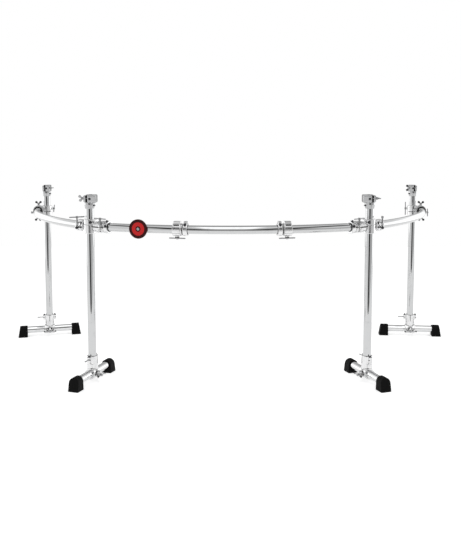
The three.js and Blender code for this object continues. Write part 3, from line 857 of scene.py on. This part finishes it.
# A thin black ring at the end of the front clamp's collar, round the rail: painted shade, where shadow
# falls in the collar's mouth.
collar_mouth_shade = machined(
    drum("collar_mouth_shade", 0.0212, 0.109, 0.1112, "X"),
    drum("mouth_bore", tube_radius + 0.0002, 0.1, 0.12, "X"),
)
inner_screws = {
    "front": [
        ("collar_top", large_screw, (0.105, 0.0138, 0.0258), (0, 0.47, 0.88)),
        ("sleeve", large_screw, (0.1045, 0.0287, 0.0066), (0, 0.98, 0.2)),
        ("ring", large_screw, (0.0178, 0.0214, 0.02), (0.64, 0.77, 0)),
    ],
    "wing": [
        ("ear", large_screw, (0.0577, -0.0334, -0.0093), (-0.6, -0.8, -0.1)),
        ("sleeve", small_screw, (0.038, -0.0224, -0.0064), (0, -0.96, -0.28)),
    ],
}
long_bolt = bar_bolt("long_bolt", long_bar, long_standoff, long_depth)
bar_turns = {
    ("front", "left"): 0.14,
    ("front", "right"): 0.2,
    ("wing", "left"): -0.85,
    ("wing", "right"): 0.38,
}
for side, mirror in sides.items():
    for rail, frame_place, clamp, liner, body in (
        ("front", front_frame_place, front_clamp, front_shade_strips, "front_frame"),
        ("wing", wing_frame_place, wing_clamp, wing_shade_strips, f"{side}_wing"),
    ):
        place = mirror @ frame_place
        bolt_at, ear_side = bolt_stations[rail]
        stand = shift((bolt_at, ear_side * ear_out, ear_top)) @ quarters(bar_turns[rail, side], "Z")
        dress(clamp, place, f"{rail}_clamp_{side}", body, cast_chrome)
        dress(long_bolt, place @ stand, f"{rail}_bolt_{side}", f"{side}_{rail}_screw", bolt_chrome)
        # The clamp's black strips of painted shade, set into its grooves.
        trim(liner, place, f"{rail}_clamp_liner_{side}", body, nylon)
        for mark, screw, at, towards in inner_screws[rail]:
            seat_place = place @ standing(at, towards)
            trim(screw, seat_place, f"{rail}_clamp_{mark}_screw_{side}", body, black_steel)
    trim(collar_mouth_shade, mirror @ front_frame_place, f"front_mouth_ring_{side}", "front_frame", nylon)
put_away(front_clamp, wing_clamp, front_shade_strips, wing_shade_strips, long_bolt, collar_mouth_shade)


# Outer clamps. One casting holds an outer leg and a wing rail crosswise. Cross-bar bolts close
# it from two sides and butterfly bolts from above and below. A plug shuts the rail's end.

cross_offset = 0.047
cross_half = 0.027
slide_ring = 0.029
boss_root = 0.02
boss_seat = 0.034
side_boss = 0.033
outer_bolt_rise = 0.01
side_bolt_drop = -0.012
low_seat = 0.04
rail_axis = (cross_offset, 0, 0)
leg_bolt_axis = (0, 0, outer_bolt_rise)
low_axis = (cross_offset + 0.004, -0.004, 0)
outer_stand = shift(legs["outer"] + Vector((0, 0, rail_height)))
outer_frame_place = outer_stand @ Matrix.Rotation(wing_cross_angle, 4, "Z")


def cross_tool():
    """What the wing rail takes away where it crosses an outer leg."""
    near, far = wing_cross_angle - 0.06 / bow, wing_cross_angle + 0.06 / bow
    return bow_tool(wing_centre, near, far, outer_frame_place)


outer_parts = [
    drum("outer_clamp", ring_radius, *both(cross_half)),
    drum("rail_ring", slide_ring, *both(cross_half), "Y", rail_axis),
    slab("web", (0, cross_offset), both(0.02), both(0.02)),
    drum("rail_boss", ear_radius, boss_root, boss_seat, "Z", rail_axis),
    drum("leg_boss", ear_radius, -boss_seat, -boss_root, "X", leg_bolt_axis),
    drum("side_boss", ear_radius, boss_root, side_boss, "X", (cross_offset, 0, side_bolt_drop)),
    drum("low_boss", ear_radius, -low_seat, -boss_root, "Z", low_axis),
]
inward, outward = boss_seat - hole_depth, boss_seat + overshoot
outer_clamp = machined(
    fused(outer_parts, cast_grain, cast_softness),
    drum("leg_bore", bore_radius, *through),
    cross_tool(),
    drum("rail_bolt_hole", hole_radius, inward, outward, "Z", rail_axis),
    drum("leg_bolt_hole", hole_radius, -outward, -inward, "X", leg_bolt_axis),
)
# The outer clamp's two black strips are painted shade: dark lines where shade falls on its front, one
# along it and one up it.
outer_shade_strips = shade_lined(
    outer_clamp,
    strip((-0.024, -0.006), (0.016, -0.006), 0.003, (-0.05, -0.012)),
    strip((0.004, 0.025), (0.004, 0.01), 0.004, (-0.05, -0.012)),
)
smooth(outer_clamp)
mouth = -cross_half
# A black ring in the mouth of the rail ring, round the rail: painted shade, where shadow falls between the
# ring and the rail.
rail_mouth_shade = machined(drum("rail_mouth_shade", 0.0226, mouth - 0.0025, mouth + 0.001, "Y", rail_axis), cross_tool())
smooth(work(rail_mouth_shade, "BEVEL", width=0.0006, segments=2, limit_method="ANGLE"))
plug_stem = [(-0.012, 0.0166), (0, 0.0166)]
plug_head = [(0.0002, 0.0188), (0.002, 0.0188), (0.0034, 0.0172), (0.004, 0.014)]
end_plug = smooth(turned("rail_end_plug", plug_stem + plug_head, round_sides))
plug_turn = Matrix.Rotation(wing_end_angle, 4, "Z") @ quarters(-1, "X")
plug_place = shift(on_bow(wing_centre, wing_end_angle)) @ plug_turn
blade_half = 0.00215


def butterfly_bolt(name, shank, depth):
    """A wing bolt on its seat at z = 0: two rounded wings on a hub."""
    wings = []
    for end in (-1, 1):
        blade = drum("blade", 0.0068, *both(blade_half), "Y")
        blade.data.transform(
            shift((end * 0.0118, 0, 0.0137))
            @ Matrix.Rotation(end * math.radians(28), 4, "Y")
            @ Matrix.Diagonal((1, 1, 0.95, 1))
        )
        wings.append(blade)
        root = slab("root", (0, 0.01), both(blade_half), both(0.004))
        root.data.transform(
            Matrix.Scale(end, 4, (1, 0, 0))
            @ shift((0.003, 0, 0.006))
            @ Matrix.Rotation(math.radians(-38), 4, "Y")
        )
        wings.append(root)
    hub = turned("hub", [(0.0005, 0.0052), (0.0012, 0.0064), (0.0085, 0.0058), (0.0098, 0.0045)])
    head = fused([hub] + wings, 0.00055, 6)
    thread = threaded(shank, -depth + 0.0005, -0.0005)
    stem = turned(name, [(-depth, shank - 0.001)] + thread + [(0.005, shank)])
    return smooth(welded(stem, head), soft_crease)


short_bolt = bar_bolt("short_bolt", long_bar, short_standoff, short_depth)
rail_butterfly = butterfly_bolt("rail_butterfly", bolt_shank, short_depth)
side_bolt = bar_bolt("side_bolt", 0.046, short_standoff, short_depth)
outer_turns = {"left": 0.7, "right": 0.05}
side_turns = {"left": 1.0, "right": -0.15}
for side, mirror in sides.items():
    place = mirror @ outer_frame_place
    wing_body = f"{side}_wing"
    dress(outer_clamp, place, f"outer_clamp_{side}", wing_body, cast_chrome)
    leg_seat = shift((-boss_seat, 0, outer_bolt_rise)) @ quarters(-1, "Y")
    leg_place = place @ leg_seat @ quarters(outer_turns[side], "Z")
    dress(short_bolt, leg_place, f"outer_leg_bolt_{side}", f"{side}_outer_leg_screw", bolt_chrome)
    rail_place = place @ shift((cross_offset, 0, boss_seat))
    dress(rail_butterfly, rail_place, f"outer_rail_bolt_{side}", f"{side}_outer_rail_screw", bolt_chrome)
    side_seat = shift((cross_offset + side_boss, 0, side_bolt_drop)) @ quarters(1, "Y")
    low_place = shift((*low_axis[:2], -low_seat)) @ quarters(2, "X")
    for name, pattern, seat_place, finish in (
        ("outer_side_bolt", side_bolt, place @ side_seat @ quarters(side_turns[side], "Z"), bolt_chrome),
        ("outer_low_butterfly", rail_butterfly, place @ low_place, bolt_chrome),
        ("outer_clamp_shade_lines", outer_shade_strips, place, nylon),
        ("outer_jaw_shade_ring", rail_mouth_shade, place, nylon),
        ("wing_end_plug", end_plug, mirror @ plug_place, nylon),
    ):
        trim(pattern, seat_place, f"{name}_{side}", wing_body, finish)
put_away(outer_clamp, rail_butterfly, side_bolt, outer_shade_strips, rail_mouth_shade, end_plug)


# Memory locks and multi-clamps. On the front rail a narrow lock ring stops each multi-clamp
# from wandering. The multi-clamp's rear socket takes a tom or cymbal arm.

rail_stations = {"left": (0.195, 0.233), "right": (0.221, 0.256)}
slide_bore = tube_radius + 0.0008
lug_height = 0.037
lug_half_depth = 0.013
post_offset = 0.048
post_radius = 0.0127
post_wall = 0.006
post_half = 0.02


def slide_lump(name, half_width, lug_half_width):
    """The ring and top lug that both castings share."""
    return [
        drum(name, slide_ring, *both(half_width), "X"),
        slab("lug", both(lug_half_width), both(lug_half_depth), (0, lug_height)),
    ]


def slide_tool():
    return drum("slide_bore", slide_bore, *through, "X")


memory_lock = fused(slide_lump("memory_lock", 0.01, 0.007), cast_grain, cast_softness)
machined(memory_lock, slide_tool(), slab("gap", both(0.02), both(0.0012), (0.019, 0.05)))
smooth(memory_lock)
lock_half = 0.0098
black_ring_end = 0.0146
lock_reach = {"left": 0.0102, "right": 0.007}
post_axis = (0, post_offset, 0)
multi_parts = slide_lump("multi_clamp", 0.018, 0.015) + [
    drum("boss", ear_radius, -boss_seat, -boss_root),
    drum("socket", post_radius + post_wall, *both(post_half), "Z", post_axis),
    slab("arm", both(0.012), (0.014, post_offset), both(0.01)),
]
multi_clamp = machined(
    fused(multi_parts, cast_grain, cast_softness),
    slide_tool(),
    drum("post_bore", post_radius + 0.0005, *both(0.03), "Z", post_axis),
    drum("bolt_hole", hole_radius, -outward, -inward),
)
# Two black strips on the multi-clamp's front are painted shade: dark lines where shade falls, one under
# the top and one along the lower edge.
multi_shade_strips = shade_lined(
    multi_clamp,
    slab("cover_slot", both(0.013), (-0.034, -0.0065), (0.0182, 0.0242)),
    slab("low_line", both(0.0175), (-0.034, -0.02), (-0.015, -0.0138)),
)
smooth(multi_clamp)
saddle_washer = machined(
    drum("saddle_washer", 0.0098, -boss_seat - 0.0016, -boss_seat + 0.0012),
    drum("washer_hole", 0.0044, -0.05, 0),
)
smooth(saddle_washer)


def rail_band(radius, start, end):
    """A ring on the front rail between two stations of a clamp's frame."""
    ring = machined(drum("rail_band", radius, start, end, "X"), slide_tool())
    return smooth(work(ring, "BEVEL", width=0.0003, segments=2, limit_method="ANGLE"))


def on_front_rail(x, side):
    """From a clamp's own frame, x along the rail, to its place on the front rail."""
    angle = math.asin(x / bow)
    point = front_centre + Vector((bow * math.sin(angle), -bow * math.cos(angle), 0))
    return sides[side] @ shift(point) @ Matrix.Rotation(angle, 4, "Z")


lock_screw_at = (0, -0.0195, 0.0225)
multi_turns = {"left": 0.03, "right": 0.02}
for side, (lock_x, multi_x) in rail_stations.items():
    lock_body, multi_body = f"{side}_lock", f"{side}_multi"
    lock_place = on_front_rail(lock_x, side)
    dress(memory_lock, lock_place, f"memory_lock_{side}", lock_body, cast_chrome)
    lug_seat = lock_place @ standing(lock_screw_at, (0, -0.96, 0.28))
    trim(large_screw, lug_seat, f"memory_lock_screw_{side}", lock_body, black_steel)
    # On each side of the lock ring a black ring sits close against it on the rail, and a chrome flange
    # lies beyond the outer one.
    for mark, radius, start, end, finish in (
        ("outer_spacer", 0.0232, lock_half, black_ring_end, nylon),
        ("inner_spacer", 0.0218, -0.0106, -lock_half, nylon),
        ("flange", 0.028, black_ring_end, lock_half + lock_reach[side], cast_chrome),
    ):
        ring = rail_band(radius, start, end)
        trim(ring, lock_place, f"memory_lock_{mark}_{side}", lock_body, finish)
        put_away(ring)
    multi_place = on_front_rail(multi_x, side)
    dress(multi_clamp, multi_place, f"multi_clamp_{side}", multi_body, cast_chrome)
    trim(multi_shade_strips, multi_place, f"multi_clamp_shade_lines_{side}", multi_body, nylon)
    trim(saddle_washer, multi_place, f"multi_washer_{side}", multi_body, nylon)
    under = shift((0, 0, -boss_seat)) @ quarters(multi_turns[side], "Z") @ quarters(2, "X")
    bolt_place = multi_place @ under
    dress(short_bolt, bolt_place, f"multi_clamp_bolt_{side}", f"{side}_multi_screw", bolt_chrome)
put_away(memory_lock, multi_clamp, short_bolt, multi_shade_strips, saddle_washer)


# Tube clamps. On each leg sits a collar with a split block, whose jaw swings on a pin at the
# back and is closed by a butterfly bolt. A tom or cymbal post stands in its bore.

collar_bottom = 0.817
collar_height = 0.029
head_height = 0.0645
block_low = 0.027
slot_width = 0.0055
head_front = -0.027
head_back = 0.024
head_bore = 0.0143
pin_y = 0.02
knuckle = 0.005
knuckle_low = 0.039
knuckle_high = 0.052
head_hole = 0.0041
head_bolt_y, head_bolt_z = -0.0195, 0.048
head_bolt_axis = (0, head_bolt_y, head_bolt_z)
collar_radius = 0.0238
head_softness = 3
head_gap = 0.0003
butterfly_turns = {
    ("inner", "left"): 0.4,
    ("inner", "right"): 1.0,
    ("outer", "left"): 1.0,
    ("outer", "right"): 0,
}
head_shapes = {
    "inner": {"body": 0.034, "jaw": 0.026, "slot": 0.008},
    "outer": {"body": 0.024, "jaw": 0.02, "slot": 0.002},
}


head_tone = (0.47, 0.474, 0.478, 1)
head_smudge = (0.35, 0.354, 0.358, 1)
head_chrome = plated("cast_clamp", "chrome plated tube clamp", head_tone, head_smudge, 0.15, 1.0)
block_round = 0.0055
head_draft = 0.2
recess_at = (-0.004, 0.0455)


def rounded_slab(name, x, y, z):
    """A block with its corners rounded, as it comes from the mould."""
    return work(slab(name, x, y, z), "BEVEL", width=block_round, segments=4)


def drafted(block):
    """Leans a front face back towards its foot, for the mould."""
    for vertex in block.data.vertices:
        if vertex.co.y < 0:
            vertex.co.y *= 1 - head_draft * (head_height - vertex.co.z) / (head_height - block_low)
    return block


def head_casting(kind, shape):
    """The fixed half: collar, block and pin lugs. x points to the jaw."""
    pin_x = shape["slot"] + slot_width
    spans = (-shape["body"], shape["slot"]), (head_front, head_back), (block_low, head_height)
    taper = drum(kind + "_head", 0.0205, 0, 0.018, end_radius=collar_radius)
    collar = drum("collar", collar_radius, 0.018, collar_height)
    body = fused([taper, collar, drafted(rounded_slab("block", *spans))], cast_grain, head_softness)
    lugs = []
    root_y = (pin_y - knuckle + 0.0001, head_back - 0.004)
    for low, high in ((block_low + 0.0035, knuckle_low), (knuckle_high, head_height - 0.0035)):
        lugs.append(drum("lug", knuckle - 0.0001, low, high, "Z", (pin_x, pin_y, 0)))
        lugs.append(slab("lug_root", (-0.002, pin_x), root_y, (low, high)))
    welded(body, *lugs)
    recess_axis = (recess_at[0], 0, recess_at[1])
    tools = [
        drum("leg_bore", bore_radius, -0.02, collar_height + head_gap),
        drum("post_bore", head_bore, collar_height - 0.001, head_height + overshoot),
        drum("knuckle_room", knuckle + 0.0006, knuckle_low, knuckle_high, "Z", (pin_x, pin_y, 0)),
        drum("recess", 0.0062, head_front - overshoot, head_front + 0.0038, "Y", recess_axis),
    ]
    if kind == "outer":
        span = (-shape["body"] - overshoot, shape["slot"] + overshoot)
        tools.append(drum("bolt_hole", head_hole, *span, "X", head_bolt_axis))
    return smooth(machined(body, *tools))


def jaw_casting(kind, shape):
    """The swinging half, shut against its slot."""
    face = shape["slot"] + slot_width
    depth = (head_front, pin_y - knuckle - head_gap)
    height = (collar_height + 0.0006, head_height - 0.003)
    jaw_block = drafted(rounded_slab(kind + "_jaw", (face, shape["jaw"]), depth, height))
    body = fused([jaw_block], cast_grain, head_softness)
    knuckle_span = (knuckle_low + head_gap, knuckle_high - head_gap)
    tongue = slab("tongue", (face, face + knuckle), (pin_y - 2 * knuckle, pin_y), knuckle_span)
    eye = drum("eye", knuckle, *knuckle_span, "Z", (face, pin_y, 0))
    welded(body, tongue, eye)
    tools = [drum("post_bore", head_bore, 0, head_height + overshoot)]
    if kind == "inner":
        span = (face - overshoot, shape["jaw"] + overshoot)
        tools.append(drum("bolt_hole", head_hole, *span, "X", head_bolt_axis))
    return smooth(machined(body, *tools))


def post_liner(kind, shape):
    """The black nylon sleeve in the bore, split at the slot, with its lip filling the slot."""
    sleeve = machined(
        drum(kind + "_liner", head_bore - 0.0001, collar_height + 0.0004, head_height - 0.0006),
        drum("liner_bore", head_bore - 0.0014, 0, head_height + overshoot),
    )
    gap = (shape["slot"] + head_gap, shape["slot"] + slot_width - head_gap)
    lip_span = (collar_height + 0.0025, head_height - 0.004)
    lip = drafted(slab("lip", gap, (head_front + 0.002, -head_bore + 0.001), lip_span))
    bolt_room = drum("bolt_room", 0.0046, *gap, "X", head_bolt_axis)
    return smooth(welded(sleeve, machined(lip, bolt_room)))


for kind, shape in head_shapes.items():
    through_body = kind == "outer"
    grip = shape["body"] + shape["slot"] if through_body else shape["jaw"] - shape["slot"] - slot_width
    head = head_casting(kind, shape)
    jaw = jaw_casting(kind, shape)
    liner = post_liner(kind, shape)
    bolt = butterfly_bolt(kind + "_butterfly", 0.0035, grip + slot_width - 0.0005)
    seat_x = -shape["body"] if through_body else shape["jaw"]
    seat_turn = quarters(-1 if through_body else 1, "Y")
    seat_place = shift((seat_x, head_bolt_y, head_bolt_z)) @ seat_turn
    for side, mirror in sides.items():
        place = mirror @ shift(legs[kind] + Vector((0, 0, collar_bottom)))
        post = f"{side}_{kind}_post"
        dress(head, place, f"{kind}_head_{side}", post, head_chrome)
        dress(jaw, place, f"{kind}_head_jaw_{side}", f"{side}_{kind}_jaw", head_chrome)
        trim(liner, place, f"{kind}_head_liner_{side}", post, nylon)
        block_seat = standing((recess_at[0], head_front + 0.0042, recess_at[1]), (0, -1, 0))
        collar_seat = standing((-0.0215, -0.0095, 0.015), (-0.9, -0.42, 0))
        for mark, screw_place in (("block", block_seat), ("collar", collar_seat)):
            trim(small_screw, place @ screw_place, f"{kind}_head_{mark}_screw_{side}", post, black_steel)
        bolt_place = place @ seat_place @ quarters(butterfly_turns[kind, side], "Z")
        dress(bolt, bolt_place, f"{kind}_head_bolt_{side}", f"{side}_{kind}_head_screw", bolt_chrome)
    put_away(head, jaw, bolt, liner)
put_away(small_screw, large_screw)


# Badge. An enamelled round plate with a raised rim and plain rings of red, on a saddle that
# hugs the front rail.

badge_x = -0.403
badge_radius = 0.0435
badge_thickness = 0.005
badge_back = -tube_radius - 0.0003
badge_sides = 96


def enamelled(name, colour, depth):
    """Stove enamel over metal: a deep gloss colour under clear lacquer, with fine dust."""
    enamel = Finish(bpy.data.materials.new(name))
    spot = enamel.place()
    cloud = enamel.grain(spot, 90, 3)
    speck = enamel.grain(spot, 1500, 1).above(0.72)
    sockets = {
        "Base Color": enamel.blend(cloud * 0.5 + speck * 0.1, colour, depth),
        "Roughness": cloud * 0.12 + 0.3,
        "Specular IOR Level": 0.12,
        "Coat Weight": 0.06,
        "Coat Roughness": 0.1,
        "Normal": enamel.bumps(cloud + speck * 0.5, 0.05, 0.0005),
    }
    return "red_enamel", enamel.skin(sockets)


badge_angle = math.asin(badge_x / bow)
badge_place = on_front_rail(badge_x, "right")
facing = quarters(1, "X")
maroon = enamelled("maroon enamel", (0.04, 0.0015, 0.0015, 1), (0.028, 0.001, 0.001, 1))
red = enamelled("red enamel", (0.58, 0.022, 0.022, 1), (0.46, 0.014, 0.014, 1))
back, front = -badge_back, -badge_back + badge_thickness
edge = [(back, badge_radius - 0.0006), (back + 0.0006, badge_radius), (front - 0.0006, badge_radius)]
rim = [(front, badge_radius - 0.0006), (front, badge_radius - 0.0026)]
dish = [(front - 0.001, badge_radius - 0.0032)]
plate = turned("badge_plate", edge + rim + dish, badge_sides)
plate.data.transform(facing)
saddle = slab("saddle", both(0.013), (badge_back - 0.0025, badge_back + 0.014), both(0.023))
welded(plate, saddle)
badge_middle = -math.pi / 2 + badge_angle
machined(plate, bow_tool(front_centre, badge_middle - 0.04, badge_middle + 0.04, badge_place))
dress(smooth(plate), badge_place, "badge", "front_frame", maroon)
face_level = front - 0.001
field_steps = ((-0.0004, 0.03), (0.0002, 0.03), (0.0005, 0.0297), (0.0006, 0.0292))
field = turned("field", [(face_level + rise, radius) for rise, radius in field_steps], badge_sides)
machined(field, drum("field_hole", 0.0125, 0, 0.05))
button_steps = ((-0.0004, 0.0068), (0.0008, 0.0066), (0.0012, 0.006), (0.0013, 0.005), (0.0009, 0.0044))
button = turned("button", [(face_level + rise, radius) for rise, radius in button_steps], round_sides)
button_finish = ("cast_clamp", bolt_chrome[1])
for name, part, finish in (("badge_field", field, red), ("badge_button", button, button_finish)):
    part.data.transform(facing)
    trim(smooth(part), badge_place, name, "front_frame", finish)
put_away(plate, field, button)


# Studio. A pale floor, a white room with darker patches for the chrome to mirror, three soft
# lamps, and the camera in front of the rack a little above its rails.

let_go()
bpy.ops.mesh.primitive_plane_add(size=1, location=(0, 0, 0))
floor = settle("studio_floor")
floor.data.transform(shift((0, 1.2, 0)) @ Matrix.Diagonal((8, 6, 1, 1)))
paper = Finish(bpy.data.materials.new("white paper floor"))
paper_spot = paper.place()
paper_tone = paper.blend(paper.grain(paper_spot, 3, 3), (0.8, 0.8, 0.8, 1), (0.82, 0.82, 0.82, 1))
paper_shader = paper.add("BsdfDiffuse", {"Color": paper_tone})
paper_path = paper.add("LightPath")
seen = paper.signal(paper_path, "Is Camera Ray") + paper.signal(paper_path, "Is Transmission Ray")
seen = (seen + paper.signal(paper_path, "Is Glossy Ray") * 0.9).held(0, 1)
paper_glow = paper.add("Emission", {"Color": (1, 1, 1, 1), "Strength": seen * 0.45})
paper_sum = paper.add("AddShader", {0: paper_shader.outputs[0], 1: paper_glow.outputs[0]})
floor.data.materials.append(paper.close(paper_sum))
floor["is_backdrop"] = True

room = Finish(bpy.context.scene.world or bpy.data.worlds.new("white room"))
bpy.context.scene.world = room.owner
room_path = room.add("LightPath")
shown = room.signal(room_path, "Is Camera Ray") + room.signal(room_path, "Is Transmission Ray")
mirrored = room.signal(room_path, "Is Glossy Ray")
sight = room.add("TexCoord").outputs["Generated"]
towards = room.add("SeparateXYZ", {"Vector": sight})
across = room.signal(towards, "X")
forward = room.signal(towards, "Y")
upward = room.signal(towards, "Z")


def past(number, edge, width):
    """Rises from 0 to 1 as a number passes an edge."""
    return ((number - edge) * (1 / width)).held(0, 1)


def between(number, low, high, width):
    """1 between two edges and 0 beyond them, each edge softened."""
    return past(number, low, width) * (1 - past(number, high, width))


in_front = past(forward * -1, -0.1, 0.2)
aside = abs(across)
doorway = (1 - past(aside, 0.29, 0.06)) * between(upward, -0.25, -0.02, 0.04)
lintel = between(upward, 0.02, 0.36, 0.08) * (past(aside, 0.1, 0.1) + 0.5)
lintel = lintel * (1 - past(aside, 0.45, 0.2))
ceiling = between(upward - aside * 1.25, -0.24, 0.2, 0.1) * past(aside, 0.2, 0.1)
right_wall = past(across, 0.27, 0.15) * (1 - past(upward, 0.1, 0.1))
softbox = past(upward, 0.5, 0.1) * (1 - past(aside, 0.15, 0.05))
back_wall = (1 - in_front) * past(aside, 0.3, 0.3) * (1 - past(upward, 0.25, 0.2))
darkened = (doorway * 0.95 + lintel * 0.6 + ceiling * 0.9 + right_wall * 0.35).held(0, 0.96)
lit = softbox * in_front + back_wall
behind = past(forward, 0.1, 0.2) * (1 - past(aside, 0.3, 0.15))
overhead = past(upward, 0.9, 0.1) * (1 - in_front)
reflected = 1 - darkened * in_front + lit * 0.9 - overhead * 0.3 - behind * 0.5
level = shown.held(0, 1) + mirrored * reflected + (1 - (shown + mirrored).held(0, 1)) * 0.75
backdrop = room.add("Background", {"Color": (1, 1, 1, 1), "Strength": level})
room.add("OutputWorld", {"Surface": backdrop.outputs[0]})

lamps = {
    "overhead_softbox": ((0.1, -0.2, 3.2), (0, 0, 0), 1.4, 1.2, 18),
    "left_softbox": ((-3.6, -2.6, 2.6), (56, 0, -55), 1.6, 2.0, 22),
    "right_softbox": ((3.6, -2.2, 2.4), (58, 0, 60), 1.6, 2.0, 14),
}
for name, (spot, tilt, width, depth, watts) in lamps.items():
    light = bpy.data.lights.new(name, "AREA")
    light.shape = "RECTANGLE"
    light.size = width
    light.size_y = depth
    light.energy = watts
    lamp = bpy.data.objects.new(name, light)
    lamp.location = spot
    lamp.rotation_euler = tuple(math.radians(angle) for angle in tilt)
    lamp.visible_glossy = False
    bpy.context.scene.collection.objects.link(lamp)

camera_data = bpy.data.cameras.new("photo_camera")
camera_data.sensor_fit = "HORIZONTAL"
camera_data.sensor_width = 36
camera_data.lens = 56.93
camera_data.shift_x = 0.0018
camera_data.shift_y = -0.1176
camera = bpy.data.objects.new("photo_camera", camera_data)
camera.location = (middle, -3.7228, 1.105)
camera.rotation_euler = (math.radians(90 - 5.52), 0, 0)
bpy.context.scene.collection.objects.link(camera)
bpy.context.scene.camera = camera
bpy.context.scene.view_settings.view_transform = "Standard"

dressed_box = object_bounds()
boxes = {"packed": packed_box, "dressed": dressed_box}
plain = {name: [[float(n) for n in corner] for corner in box] for name, box in boxes.items()}
